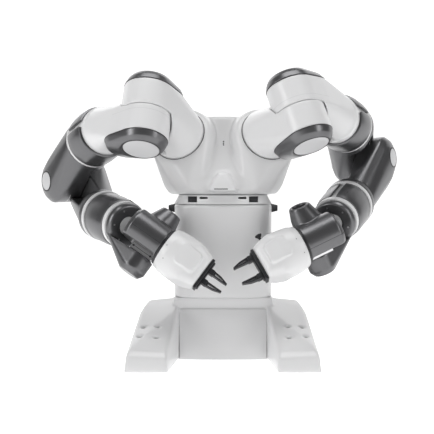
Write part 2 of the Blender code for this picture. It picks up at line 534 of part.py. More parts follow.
def build_wrist(word, six, up):
    """Sixth link: tapered casing, its end disc and the clamp; up is its cone side."""
    here = Matrix.Identity(4)
    points = ring((0.0, 0.0, up * CASING_BOTTOM), CASING_RADIUS - 0.0020)
    points += ring((0.0, 0.0, up * (CASING_BOTTOM + 0.0040)), CASING_RADIUS)
    points += ring((0.0, 0.0, up * CASING_TOP), CASING_RADIUS)
    points += ring((0.0, 0.0, up * CONE_END), CONE_RADIUS, "Z", SMALL_ROUND)
    points += ring((TOOL_ROLL_OUT, CASING_FACE + 0.0050, 0.0), CASING_NECK_RADIUS, "Y")
    points += ring((TOOL_ROLL_OUT - 0.0020, DRUM_BACK + 0.0070, 0.0), DRUM_RADIUS, "Y")
    points += ring((TOOL_ROLL_OUT - 0.0020, DRUM_BACK, 0.0), DRUM_RADIUS - 0.0070, "Y")
    casing = skin(word + "_wrist_casing", points, six, here, CAST_GREY)
    cut(casing, block("casing_face", (-0.1000, CASING_FACE, -0.1000), (0.1000, 0.1000, 0.1000), six, here))
    room = ((-0.1000, -0.1000, up * CASING_BOTTOM), (0.1000, CASING_FACE - 0.0036, up * -0.1000))
    cut(casing, block("clamp_room", room[0], room[1], six, here))
    start = (0.0, 0.0, up * (CONE_END - CUP_DEPTH))
    cut(casing, rod("cup", start, (0.0, 0.0, up * 0.1), WRIST_DISC_RADIUS + GAP, six, here, None, SMALL_ROUND))
    start = (0.0, 0.0, up * (CONE_END - CUP_DEPTH + GAP))
    end = (0.0, 0.0, up * (CONE_END - CUP_DEPTH + 0.0025))
    rod(word + "_wrist_disc", start, end, WRIST_DISC_RADIUS, six, here, DISC_GREY, SMALL_ROUND)
    low = up * (CASING_BOTTOM - GAP)
    high = -up * (FORK_GAP - GAP)
    clamp = rod(word + "_wrist_clamp", (0.0, 0.0, low), (0.0, 0.0, high), 0.0215, six, here, STEEL)
    join(clamp, block("clamp_bar", (0.0, -0.0222, low), (0.0250, 0.0215, high), six, here))
    for y in (-0.0175, 0.0175):
        middle = (low + high) / 2.0
        cut(clamp, rod("clamp_screw", (0.0200, y, middle), (0.0300, y, middle), 0.0018, six, here, None, 12))


def build_gripper(word, seven, finger_one, finger_two, opening):
    """Seventh link: tool flange and gripper body, with two sliding fingers."""
    here = Matrix.Identity(4)
    start = (0.0, 0.0, FLANGE_START)
    rod(word + "_tool_flange", start, (0.0, 0.0, FLANGE_END), TOOL_FLANGE_RADIUS, seven, here, DARK_PLASTIC)
    points = ring((0.0, 0.0, FLANGE_END + GAP), 0.0370) + ring((0.0, 0.0, 0.0120), 0.0410)
    points += ring((0.0, 0.0, 0.0260), BODY_RADIUS) + ring((0.0, 0.0, 0.0400), BODY_RADIUS - 0.0005)
    for x in (-1.0, 1.0):
        for y in (-1.0, 1.0):
            points += ring((x * 0.0200, y * 0.0140, BODY_FRONT - 0.0060), 0.0120, "Z", SMALL_ROUND)
            points += ring((x * 0.0210, y * 0.0120, BODY_FRONT), 0.0095, "Z", SMALL_ROUND)
    body = skin(word + "_gripper_body", points, seven, here, SHELL_WHITE)
    low = (-0.0300, -0.0110, BODY_FRONT + GAP)
    plate = block(word + "_gripper_plate", low, (0.0300, 0.0110, PLATE_END), seven, here, DARK_PLASTIC)
    join(plate, block("rail_form", (-0.0270, -0.0060, 0.0830), (0.0270, 0.0060, RAIL_END), seven, here))
    for label, empty, side in (("finger_a", finger_one, 1.0), ("finger_b", finger_two, -1.0)):
        low = (side * (opening - 0.0050), -0.0075, RAIL_END + GAP)
        high = (side * (opening + 0.0045), 0.0075, FINGER_ROOT_END)
        finger = block(word + "_" + label, low, high, empty, here, DARK_PLASTIC)
        blade = []
        for y in (-1.0, 1.0):
            blade += [Vector((side * (opening + x), y * 0.0060, 0.0920)) for x in (-0.0042, 0.0045)]
            blade += [Vector((side * (opening + x), y * 0.0040, FINGER_TIP)) for x in (-0.0045, -0.0015)]
            blade += [Vector((side * (opening + 0.0028), y * 0.0050, 0.1100))]
        join(finger, skin("finger_blade", blade, empty, here))
        window = ((-0.0016, 0.0985), (0.0020, 0.0985), (-0.0026, 0.1160), (-0.0006, 0.1160))
        points = [Vector((side * (opening + x), y, z)) for y in (-0.0200, 0.0200) for x, z in window]
        cut(finger, skin("finger_window", points, empty, here))
    return body


def build_arm(word, shoulder, turns, mirror, opening):
    """One arm; mirror is +1 or -1 and swaps the wrist left for right."""
    steps = [
        shoulder,
        move(SHOULDER_BEND_OUT, 0.0, SHOULDER_BEND_UP) @ turn(90.0, "X"),
        move(-UPPER_ROLL_BACK, UPPER_ROLL_ALONG, 0.0) @ turn(-90.0, "X"),
        move(-ELBOW_BACK, 0.0, ELBOW_UP) @ turn(-90.0, "Y") @ turn(90.0, "X"),
        move(FOREARM_ROLL_OUT, FOREARM_ROLL_ALONG, 0.0) @ turn(-90.0, "X"),
        move(-WRIST_BEND_BACK, 0.0, WRIST_BEND_ALONG) @ turn(90.0, "X"),
        move(TOOL_ROLL_OUT, TOOL_ROLL_ALONG, 0.0) @ turn(-90.0, "X"),
    ]
    links = []
    parent = base_frame
    for number, (step, angle) in enumerate(zip(steps, turns), start=1):
        parent = joint_empty(f"{word}_joint_{number}", parent, step @ turn(angle, "Z"))
        links.append(parent)
    fingers = [joint_empty(f"{word}_slide_{label}", parent, Matrix.Identity(4)) for label in ("a", "b")]
    build_shoulder(word, links[0], links[1])
    build_elbow(word, links[2], links[3])
    build_forearm(word, links[4], mirror)
    build_wrist(word, links[5], mirror)
    body = build_gripper(word, links[6], *fingers, opening)
    return body, links[6]


base_frame = joint_empty("base_frame", None, Matrix.Identity(4))
right_turn = Euler((-SHOULDER_ROLL, SHOULDER_PITCH, -SHOULDER_YAW - math.pi), "XYZ").to_matrix().to_4x4()
left_turn = Euler((SHOULDER_ROLL, SHOULDER_PITCH, SHOULDER_YAW), "XYZ").to_matrix().to_4x4()
right_shoulder = move(-SHOULDER_X, SHOULDER_Y, SHOULDER_Z) @ right_turn
left_shoulder = move(SHOULDER_X, SHOULDER_Y, SHOULDER_Z) @ left_turn
build_pedestal(base_frame)
build_torso(base_frame, [right_shoulder, left_shoulder])
build_arm("right", right_shoulder, RIGHT_TURNS, 1.0, RIGHT_OPENING)
left_body, left_tool = build_arm("left", left_shoulder, LEFT_TURNS, -1.0, LEFT_OPENING)

# Small suction cup that stands in a bore in the side of the left gripper
cup_at = move(-0.0330, 0.0, CUP_HEIGHT) @ turn(-90.0, "Y")
profile = [(0.0066, 0.0190), (0.0060, 0.0175), (0.0024, 0.0130), (0.0024, 0.0084), (0.0042, 0.0080), (0.0042, 0.0)]
turned("left_suction_cup", profile, left_tool, cup_at, DARK_PLASTIC, SMALL_ROUND)
bore = rod("cup_bore", (0.0, 0.0, -GAP), (0.0, 0.0, 0.0400), 0.0042 + GAP, left_tool, cup_at, None, SMALL_ROUND)
cut(left_body, bore)
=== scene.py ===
import json
import math

import bmesh
import bpy
from mathutils import Euler, Matrix, Vector

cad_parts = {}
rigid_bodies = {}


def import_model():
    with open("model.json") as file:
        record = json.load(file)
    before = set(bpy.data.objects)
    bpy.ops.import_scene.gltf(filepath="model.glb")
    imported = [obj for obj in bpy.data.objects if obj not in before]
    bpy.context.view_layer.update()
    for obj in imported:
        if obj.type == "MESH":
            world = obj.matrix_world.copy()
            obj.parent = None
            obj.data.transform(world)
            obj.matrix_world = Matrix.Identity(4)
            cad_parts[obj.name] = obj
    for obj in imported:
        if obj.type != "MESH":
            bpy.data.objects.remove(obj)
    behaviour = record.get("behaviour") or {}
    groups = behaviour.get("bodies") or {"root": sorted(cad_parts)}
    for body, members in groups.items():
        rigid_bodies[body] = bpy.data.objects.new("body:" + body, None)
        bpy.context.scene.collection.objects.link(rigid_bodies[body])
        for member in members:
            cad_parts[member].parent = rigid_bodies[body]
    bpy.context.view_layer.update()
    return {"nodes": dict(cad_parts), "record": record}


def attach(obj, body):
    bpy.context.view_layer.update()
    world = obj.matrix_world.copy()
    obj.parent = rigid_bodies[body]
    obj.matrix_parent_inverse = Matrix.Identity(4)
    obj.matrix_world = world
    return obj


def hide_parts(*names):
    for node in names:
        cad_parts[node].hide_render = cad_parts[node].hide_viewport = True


for existing in list(bpy.data.objects):
    bpy.data.objects.remove(existing, do_unlink=True)

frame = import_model()

# Clearances and facet counts
GAP = 0.0003
SCOOP_GAP = 0.0020
ROUND = 72
SMALL_ROUND = 48
FAR = 0.1000

# The robot's own right side is at -X
SIDES = ((-1.0, "right"), (1.0, "left"))

# Pedestal and torso
FOOT_FRONT_Y = -0.270
BASE_BACK_Y = 0.180
FOOT_TOE_HEIGHT = 0.028
FOOT_TOP_HEIGHT = 0.103
FOOT_BACK_HEIGHT = 0.078
COLUMN_BASE_Z = 0.111
COLUMN_HALF_WIDTH = 0.0875
FOOT_OUTER_X = COLUMN_HALF_WIDTH + 0.0785
FOOT_INNER_X = COLUMN_HALF_WIDTH + 0.0045
FOOT_RECESSES = ((0.1420, -0.205), (0.1140, -0.209), (0.1370, -0.168), (0.1130, -0.172))
RAMP_START_Y = -0.256
RAMP_SLOPE = 0.34
RAMP_TILT = 18.0
COLUMN_FRONT_Y = -0.118
COLUMN_BACK_Y = 0.120
COLUMN_SPLIT_Y = -0.020
COLUMN_TOP_Z = 0.2765
COLUMN_WALL = 0.0055
COVER_ROUND = 0.0070
COVER_SQUARENESS = 4.6
COVER_SETBACK = 0.0058
CABINET_FLOOR = 0.1170
LATCH_Z = 0.2590
TORSO_BOTTOM_Z = 0.2925
TORSO_TOP_Z = 0.4325

# Shoulder seats
SHOULDER_X = 0.0725
SHOULDER_Y = -0.05355
SHOULDER_Z = 0.38962
SHOULDER_ROLL = 0.9788
SHOULDER_PITCH = -0.5699
SHOULDER_YAW = 2.3168 - math.pi / 2.0
SEAT_HEIGHT = 0.0180
SEAT_RADIUS = 0.0500
SHOULDER_FLANGE_RADIUS = 0.0475

# Joint offsets of one arm
SHOULDER_BEND_OUT = 0.0300
SHOULDER_BEND_UP = 0.1000
UPPER_ROLL_BACK = 0.0300
UPPER_ROLL_ALONG = 0.17283
ELBOW_BACK = 0.04188
ELBOW_UP = 0.07873
FOREARM_ROLL_OUT = 0.0405
FOREARM_ROLL_ALONG = 0.16461
WRIST_BEND_BACK = 0.0270
WRIST_BEND_ALONG = 0.10039
TOOL_ROLL_OUT = 0.0270
TOOL_ROLL_ALONG = 0.0290

# Joint angles of the pose in the photograph, in degrees from shoulder to tool
RIGHT_TURNS = (42.5, -130.0, -110.0, 59.5, -127.5, 50.0, -95.5)
LEFT_TURNS = (-30.5, -133.0, 110.0, 57.0, 100.0, 49.5, -54.5)

# Shoulder bend housings
BEND_RADIUS = 0.0450
BEND_HALF = 0.0500
BEND_TAIL_RADIUS = 0.0400
CAP_SHOULDER = 0.0610
CAP_TOP = 0.0690
DISC_RADIUS = 0.0320
DISC_DEPTH = 0.0050

# Upper arm
UPPER_SEAM = UPPER_ROLL_ALONG - 0.0054
UPPER_TUBE_RADIUS = 0.0440
UPPER_FLANGE_RADIUS = UPPER_TUBE_RADIUS + 0.0040
UPPER_COVER_RADIUS = UPPER_TUBE_RADIUS + 0.0060
STRIPE_WIDTH = 0.0110

# Elbow housings
ELBOW_RADIUS = 0.0400
ELBOW_HALF = 0.0430
ELBOW_DOME = 0.0580
ELBOW_TAIL_RADIUS = 0.0340
ELBOW_FLANGE_RADIUS = 0.0465
ELBOW_DISC_RADIUS = 0.0165

# Forearm, measured along its roll axis
FOREARM_START = -0.0410
FOREARM_RING_END = -0.0340
FOREARM_COVER_END = 0.0295
FOREARM_FRAME_END = 0.0400
FORK_END = 0.0530
FOREARM_RADIUS = 0.0395
FOREARM_COVER_RADIUS = FOREARM_RADIUS + 0.0050
FOREARM_FLANGE_RADIUS = FOREARM_RADIUS + 0.0060
FOREARM_CORE_RADIUS = 0.0165
FOREARM_STRIPE_ANGLE = 78.0

# Wrist
FORK_GAP = 0.0330
FORK_OUTER = 0.0700
FORK_RADIUS = 0.0255
CASING_RADIUS = 0.0320
CASING_BOTTOM = -0.0220
CASING_TOP = 0.0140
DRUM_RADIUS = 0.0345
DRUM_BACK = -0.0450
DRUM_OUT = TOOL_ROLL_OUT - 0.0020
DRUM_EDGE = 0.0070
CONE_END = 0.0600
CONE_RADIUS = 0.0185
CUP_DEPTH = 0.0120
CASING_FACE = 0.0258
CASING_NECK_RADIUS = 0.0325
WRIST_DISC_RADIUS = 0.0122
CLAMP_RADIUS = 0.0215
CLAMP_SCREWS_Y = (-0.0175, 0.0175)
FORK_SCREW_CIRCLE = 0.0290

# Gripper, measured along the tool axis
FLANGE_START = -0.0028
FLANGE_END = 0.0004
TOOL_FLANGE_RADIUS = 0.0350
BODY_RADIUS = 0.0425
BODY_FRONT = 0.0800
PLATE_END = 0.0850
RAIL_END = 0.0880
FINGER_ROOT_END = 0.0960
FINGER_TIP = 0.1245
RIGHT_OPENING = 0.0110
LEFT_OPENING = 0.0185
CUP_HEIGHT = 0.0575
SUCTION_FOOT_RADIUS = 0.0042

# Camera of the photograph, in metres and picture points
PICTURE = 434.0
FOCAL_PIXELS = 1636.83
CENTRE_ACROSS = 227.72
CENTRE_DOWN = 221.33
CAMERA_AT = (0.00834, -2.99589, 0.39777)
CAMERA_PITCH = 3.0

# Finish names; each is a material and a slot of the record
SHELL_WHITE = "white_paint"
CAST_GREY = "grey_casting"
DISC_GREY = "grey_plastic"
DARK_PLASTIC = "black_plastic"
CUP_RUBBER = "cup_rubber"
STEEL = "steel"
BOARD_GREEN = "green_board"

# Voxel size and smoothing passes of the castings and mouldings, which have soft edges
SOFTENED = {
    "base_casting": (0.0024, 14),
    "torso_shell": (0.0021, 34),
    "shoulder_housing": (0.0015, 12),
    "upper_arm": (0.0015, 12),
    "_cap": (0.0012, 9),
    "elbow_housing": (0.0013, 12),
    "elbow_neck": (0.0013, 12),
    "wrist_fork": (0.0012, 16),
    "wrist_casing": (0.0011, 26),
    "gripper_body": (0.0012, 16),
}
# Edge rounding of the other forms
BEVELS = {"column_cover": 0.0012, "rear_cabinet": 0.0040, "front_panel": 0.0020, "waist_plate": 0.0010}
SMALL_BEVEL = 0.0005

# How far thin lines stand out of the housings they run round
LINE_PROUD = 0.0002

built = bpy.data.collections.new("forms")
bpy.context.scene.collection.children.link(built)
forms = {}
body_of = {node: body for body, nodes in frame["record"]["behaviour"]["bodies"].items() for node in nodes}
here = Matrix.Identity(4)


def move(x, y, z):
    return Matrix.Translation((x, y, z))


def turn(degrees, axis):
    return Matrix.Rotation(math.radians(degrees), 4, axis)


def joint_empty(name, parent, local):
    made = bpy.data.objects.new(name, None)
    built.objects.link(made)
    made.parent = parent
    made.matrix_local = local
    return made


def finish(name, mesh, parent, local, look):
    """Link a form; one with a look becomes a piece, and the others only cut or join."""
    made = bpy.data.objects.new(name + "_form", mesh)
    built.objects.link(made)
    made.parent = parent
    made.matrix_local = local
    if look is not None:
        forms[name] = (made, look)
    return made


def finish_bmesh(name, tool, parent, local, look):
    mesh = bpy.data.meshes.new(name)
    tool.to_mesh(mesh)
    tool.free()
    return finish(name, mesh, parent, local, look)


def ring(centre, radius, axis="Z", count=ROUND):
    """Points of a circle about a line through centre along the named axis."""
    points = []
    for index in range(count):
        angle = 2.0 * math.pi * index / count
        first = radius * math.cos(angle)
        second = radius * math.sin(angle)
        offset = {"X": (0.0, first, second), "Y": (first, 0.0, second), "Z": (first, second, 0.0)}[axis]
        points.append(Vector(centre) + Vector(offset))
    return points


def circle(z, radius, count=ROUND):
    return ring((0.0, 0.0, z), radius, "Z", count)


def egg(z, radius, tail, tail_radius):
    """Egg outline at height z: a circle on the joint axis and a smaller one at tail."""
    return circle(z, radius) + ring((*tail, z), tail_radius)


def mirrored(points):
    """The points together with their mirror images across X = 0."""
    both = [Vector(point) for point in points]
    return both + [Vector((-point[0], point[1], point[2])) for point in points]


def skin(name, points, parent, local, look=None):
    """Convex shell stretched round a cage of points."""
    tool = bmesh.new()
    for point in points:
        tool.verts.new(point)
    bmesh.ops.remove_doubles(tool, verts=tool.verts, dist=0.00002)
    shell = bmesh.ops.convex_hull(tool, input=tool.verts)
    unused = shell["geom_interior"] + shell["geom_unused"]
    inner = {item for item in unused if isinstance(item, bmesh.types.BMVert)}
    bmesh.ops.delete(tool, geom=list(inner), context="VERTS")
    bmesh.ops.dissolve_limit(tool, angle_limit=math.radians(0.5), verts=tool.verts, edges=tool.edges)
    bmesh.ops.recalc_face_normals(tool, faces=tool.faces)
    return finish_bmesh(name, tool, parent, local, look)


def block(name, low, high, parent, local, look=None):
    tool = bmesh.new()
    centre = [(first + last) / 2.0 for first, last in zip(low, high)]
    size = [abs(last - first) for first, last in zip(low, high)]
    bmesh.ops.create_cube(tool, size=1.0, matrix=move(*centre) @ Matrix.Diagonal((*size, 1.0)))
    return finish_bmesh(name, tool, parent, local, look)


def rod(name, start, end, radius, parent, local, look=None, count=ROUND):
    """Cylinder about Z between two heights."""
    tool = bmesh.new()
    bmesh.ops.create_cone(
        tool, cap_ends=True, segments=count, radius1=radius, radius2=radius,
        depth=abs(end - start), matrix=move(0.0, 0.0, (start + end) / 2.0),
    )
    return finish_bmesh(name, tool, parent, local, look)


def turned(name, profile, parent, local, look=None, count=ROUND):
    """Solid of revolution about Z; its profile runs down the outer side."""
    mesh = bpy.data.meshes.new(name)
    closed = profile[0] == profile[-1]
    points = list(profile[:-1]) if closed else [(0.0, profile[0][1]), *profile, (0.0, profile[-1][1])]
    edges = [(index, index + 1) for index in range(len(points) - 1)]
    if closed:
        edges.append((len(points) - 1, 0))
    mesh.from_pydata([(radius, 0.0, height) for radius, height in points], edges, [])
    made = finish(name, mesh, parent, local, look)
    screw = made.modifiers.new("turn", "SCREW")
    screw.axis = "Z"
    screw.angle = 2.0 * math.pi
    screw.steps = count
    screw.render_steps = count
    screw.use_merge_vertices = True
    screw.merge_threshold = 0.00005
    return made


def tube_profile(inside, outside, low, high):
    return [(inside, high), (outside, high), (outside, low), (inside, low), (inside, high)]


def combine(target, other, operation):
    modifier = target.modifiers.new(other.name, "BOOLEAN")
    modifier.operation = operation
    modifier.solver = "EXACT"
    modifier.object = other


def cut(target, other):
    combine(target, other, "DIFFERENCE")


def join(target, other):
    combine(target, other, "UNION")


def cover_outline(inset, z):
    """Outline of the column's front: nearly flat, with round corners."""
    width = COLUMN_HALF_WIDTH - inset
    depth = COLUMN_SPLIT_Y - COLUMN_FRONT_Y - COVER_SETBACK - inset
    points = []
    for step in range(61):
        angle = math.pi * step / 60.0
        across = math.cos(angle)
        out = math.sin(angle)
        reach = (abs(across) ** COVER_SQUARENESS + abs(out) ** COVER_SQUARENESS) ** (-1.0 / COVER_SQUARENESS)
        points.append(Vector((width * across * reach, COLUMN_SPLIT_Y - depth * out * reach, z)))
    return points


def recess_places(side):
    """Place and tilt of each fixing recess on the ramp of one foot."""
    places = []
    for x, y in FOOT_RECESSES:
        height = FOOT_TOE_HEIGHT + 0.0080 + (y - RAMP_START_Y) * RAMP_SLOPE
        places.append(move(side * x, y, height) @ turn(RAMP_TILT, "X"))
    return places


def build_pedestal(root):
    base = block(
        "base_casting",
        (-COLUMN_HALF_WIDTH, COLUMN_FRONT_Y + 0.022, 0.0), (COLUMN_HALF_WIDTH, COLUMN_BACK_Y, COLUMN_BASE_Z),
        root, here, SHELL_WHITE,
    )
    near = COLUMN_HALF_WIDTH - COLUMN_WALL
    toe_y = FOOT_FRONT_Y + 0.002
    edge_y = FOOT_FRONT_Y + 0.014
    for side, word in SIDES:
        foot = [(x, FOOT_FRONT_Y, 0.0) for x in (FOOT_INNER_X, FOOT_OUTER_X)]
        foot += [(FOOT_INNER_X + 0.0020, toe_y, FOOT_TOE_HEIGHT - 0.004)]
        foot += [(FOOT_OUTER_X - 0.0035, toe_y, FOOT_TOE_HEIGHT)]
        foot += [(FOOT_INNER_X + 0.0040, edge_y, FOOT_TOE_HEIGHT + 0.006)]
        foot += [(FOOT_OUTER_X - 0.0080, edge_y, FOOT_TOE_HEIGHT + 0.009)]
        foot += [(near - 0.0040, -0.0960, z) for z in (0.0, FOOT_TOP_HEIGHT - 0.006)]
        foot += [(near, -0.0720, FOOT_TOP_HEIGHT - 0.001), (near, -0.0200, FOOT_TOP_HEIGHT)]
        foot += [(FOOT_OUTER_X - 0.0180, -0.0860, FOOT_TOP_HEIGHT - 0.022)]
        foot += [(FOOT_OUTER_X - 0.0260, -0.0700, FOOT_TOP_HEIGHT - 0.009)]
        foot += [(FOOT_OUTER_X - 0.0320, -0.0300, FOOT_TOP_HEIGHT - 0.004)]
        foot += [(FOOT_OUTER_X + 0.0040, y, 0.0) for y in (-0.0500, BASE_BACK_Y)]
        foot += [(FOOT_OUTER_X - 0.0320, BASE_BACK_Y - 0.004, FOOT_BACK_HEIGHT - 0.004)]
        foot += [(near - 0.0220, BASE_BACK_Y, 0.0), (near - 0.0220, BASE_BACK_Y - 0.003, FOOT_BACK_HEIGHT)]
        join(base, skin("foot_form", [(side * x, y, z) for x, y, z in foot], root, here))
        for spot in recess_places(side):
            cut(base, rod("foot_hole", -0.0100, 0.0300, 0.0044, root, spot, None, 12))

    wide = COLUMN_HALF_WIDTH - 0.0100
    outline = ((wide, 0.0150, 0.0260), (wide, 0.0217, 0.0900), (0.0400, 0.0110, 0.0260))
    panel = [(x, COLUMN_FRONT_Y + back, z) for x, back, top in outline for z in (0.0, top)]
    panel += [(wide, COLUMN_FRONT_Y + 0.0190, 0.0900)]
    skin("front_panel", mirrored(panel), root, here, SHELL_WHITE)

    cover = []
    for step in range(9):
        swing = math.radians(step * 11.25)
        inset = COVER_ROUND * (1.0 - math.cos(swing))
        height = COLUMN_TOP_Z - COVER_ROUND + COVER_ROUND * math.sin(swing)
        cover += cover_outline(inset, height)
    cover += cover_outline(0.0, COLUMN_BASE_Z + GAP)
    front = skin("column_cover", cover, root, here, SHELL_WHITE)
    inner = COLUMN_HALF_WIDTH - COLUMN_WALL
    hollow_top = COLUMN_TOP_Z - 0.005
    cut(front, block("cover_hollow", (-inner, -0.0840, 0.05), (inner, 0.05, hollow_top), root, here))
    for side, word in SIDES:
        root_x, tip_x = side * (COLUMN_HALF_WIDTH - 0.0025), side * (COLUMN_HALF_WIDTH + 0.0110)
        latch = [(root_x, y, LATCH_Z + rise) for y in (-0.0480, -0.0220) for rise in (0.0, 0.0160)]
        latch += [(tip_x, y, LATCH_Z + rise) for y in (-0.0420, -0.0280) for rise in (0.0030, 0.0130)]
        skin("latch_" + word, latch, root, here, DARK_PLASTIC)

    split = COLUMN_SPLIT_Y + GAP
    low = COLUMN_BASE_Z + GAP
    edge_x = COLUMN_HALF_WIDTH - 0.0035
    cabinet = [(edge_x, split, COLUMN_TOP_Z), (edge_x, COLUMN_BACK_Y - 0.014, COLUMN_TOP_Z)]
    for y in (split, COLUMN_BACK_Y - 0.012):
        cabinet += [(COLUMN_HALF_WIDTH, y, z) for z in (low, COLUMN_TOP_Z - 0.004)]
    cabinet += [(COLUMN_HALF_WIDTH - 0.0115, COLUMN_BACK_Y, z) for z in (low, COLUMN_TOP_Z - 0.012)]
    rear = skin("rear_cabinet", mirrored(cabinet), root, here, SHELL_WHITE)
    far = (inner, 0.1060, hollow_top)
    cut(rear, block("cabinet_hollow", (-inner, -0.05, CABINET_FLOOR), far, root, here))
    cut(rear, block("socket_opening", (-0.0603, 0.0900, 0.1297), (0.0603, 0.1400, 0.1753), root, here))

    low = COLUMN_TOP_Z + GAP
    high = TORSO_BOTTOM_Z - GAP
    plate = []
    for inset, z in ((0.0006, low), (0.0090, high)):
        wide = COLUMN_HALF_WIDTH - inset
        plate += [(wide, 0.0700, z), (wide, -0.0800, z), (wide - 0.0085, -0.1010 + inset, z)]
        plate += [(wide * 0.51, -0.1115 + inset, z), (0.0, -0.1145 + inset, z)]
    waist = skin("waist_plate", mirrored(plate), root, here, SHELL_WHITE)
    for side, word in SIDES:
        slot = []
        for y in (-0.1200, -0.0960):
            for x, radius in ((0.0285, 0.0018), (0.0395, 0.0022)):
                slot += ring((side * x, y, high - 0.0046), radius, "Y", 12)
        cut(waist, skin("waist_slot", slot, root, here))
        near, far = (side * 0.0250, -0.1030, high - 0.0072), (side * 0.0430, -0.0970, high - 0.0020)
        block("waist_slot_" + word, near, far, root, here, DARK_PLASTIC)
        near, far = (side * 0.0460, -0.1200, low + 0.0030), (side * 0.0620, -0.0900, high - 0.0020)
        cut(waist, block("waist_pocket", near, far, root, here))
        near, far = (side * 0.0463, -0.1000, low + 0.0033), (side * 0.0617, -0.0903, high - 0.0023)
        block("waist_socket_" + word, near, far, root, here, DARK_PLASTIC)


def build_torso(root, seats):
    shape = [(0.0340, -0.0350, TORSO_TOP_Z), (0.0450, 0.0350, TORSO_TOP_Z - 0.004)]
    shape += [(0.0840, 0.0500, TORSO_TOP_Z - 0.030), (0.1120, 0.0350, 0.3700)]
    shape += [(0.1180, -0.0200, 0.3520), (0.1130, 0.0600, 0.3300)]
    shape += [(0.1120, -0.0450, 0.3280), (0.1060, -0.0500, 0.3060)]
    shape += [(0.0955, -0.0600, TORSO_BOTTOM_Z), (0.0800, -0.0880, TORSO_BOTTOM_Z)]
    shape += [(0.0955, 0.0700, TORSO_BOTTOM_Z), (0.0800, 0.0850, TORSO_BOTTOM_Z)]
    shape += [(0.0500, 0.0900, 0.3900), (0.0500, 0.0950, 0.3300)]
    shape += [(0.0400, -0.1010, TORSO_BOTTOM_Z), (0.0600, -0.1060, 0.3060)]
    torso = skin("torso_shell", mirrored(shape), root, here, SHELL_WHITE)
    for (side, word), seat in zip(SIDES, seats):
        form = circle(SEAT_HEIGHT, SEAT_RADIUS) + circle(SEAT_HEIGHT - 0.0050, SEAT_RADIUS + 0.0070)
        form += circle(SEAT_HEIGHT - 0.0250, SEAT_RADIUS + 0.0120)
        form = [seat @ point for point in form] + [Vector((side * x, y, z)) for x, y, z in shape[2:]]
        join(torso, skin("shoulder_form", form, root, here))
        inside, outside = SEAT_RADIUS - 0.0023, SEAT_RADIUS - 0.0013
        rim = tube_profile(inside, outside, SEAT_HEIGHT - 0.0040, SEAT_HEIGHT + 0.0004)
        turned("seat_line_" + word, rim, root, seat, DARK_PLASTIC)
    nose = [(0.0300, -0.1080, 0.2990), (0.0250, -0.1210, 0.3010), (0.0080, -0.1130, 0.3330)]
    nose += [(0.0180, -0.1200, 0.3150), (0.0200, -0.0600, 0.2990), (0.0080, -0.0600, 0.3330)]
    join(torso, skin("nose_form", mirrored(nose), root, here))
    cut(torso, block("nose_slot", (-0.0120, -0.1400, 0.3026), (0.0120, -0.1180, 0.3040), root, here))


def line_round(name, near, points, empty, at, look):
    """Thin line that stands a little out of a housing; near is the piece it moves with."""
    body_of[name] = body_of[near]
    return skin(name, points, empty, at, look)


def band(heights, radius, tail, tail_radius):
    """Points of an egg-shaped band between two heights."""
    return [point for z in heights for point in egg(z, radius, tail, tail_radius)]


def disc_shade_ring(disc, radius, width, start, end, empty, at):
    """Dark ring round a disc: painted shade of the recess the disc sits in."""
    body_of[disc + "_rim"] = body_of[disc]
    rim = tube_profile(radius + 0.0002, radius + width, min(start, end), max(start, end))
    turned(disc + "_rim", rim, empty, at, DARK_PLASTIC)


def bend_end(name, empty, at, side, tail):
    """Cap and disc that close a shoulder bend housing, on the +Z or -Z side."""
    points = egg(side * (BEND_HALF + GAP), BEND_RADIUS, tail, BEND_TAIL_RADIUS)
    points += egg(side * CAP_SHOULDER, BEND_RADIUS - 0.0040, tail, BEND_TAIL_RADIUS - 0.0050)
    points += egg(side * CAP_TOP, DISC_RADIUS + 0.0030, (tail[0] * 0.5, tail[1] * 0.5), 0.0250)
    cap = skin(name + "_cap", points, empty, at, CAST_GREY)
    low = side * (CAP_TOP - DISC_DEPTH)
    cut(cap, rod("cap_bore", low, side * 0.0800, DISC_RADIUS + GAP, empty, at))
    points = circle(low + side * GAP, DISC_RADIUS) + circle(side * CAP_TOP, DISC_RADIUS)
    points += circle(side * (CAP_TOP + 0.0008), DISC_RADIUS - 0.0020)
    skin(name + "_disc", points, empty, at, DISC_GREY)
    # Dark ring round the disc paints the shade of the recess it sits in
    disc_shade_ring(name + "_disc", DISC_RADIUS, 0.0016, low, side * (CAP_TOP + 0.0004), empty, at)
    heights = (side * (BEND_HALF - 0.0004), side * (BEND_HALF + 0.0006))
    line = band(heights, BEND_RADIUS + LINE_PROUD / 2.0, tail, BEND_TAIL_RADIUS + LINE_PROUD / 2.0)
    line_round(name + "_cap_line", name + "_cap", line, empty, at, DARK_PLASTIC)


def elbow_points(side, tail):
    points = egg(side * -0.0020, ELBOW_RADIUS, tail, ELBOW_TAIL_RADIUS)
    points += egg(side * ELBOW_HALF, ELBOW_RADIUS, tail, ELBOW_TAIL_RADIUS)
    near = (tail[0] * 0.7, tail[1] * 0.7)
    points += egg(side * (ELBOW_HALF + 0.0090), ELBOW_RADIUS - 0.0080, near, ELBOW_TAIL_RADIUS - 0.0080)
    return points + circle(side * ELBOW_DOME, ELBOW_DISC_RADIUS + 0.0025, SMALL_ROUND)


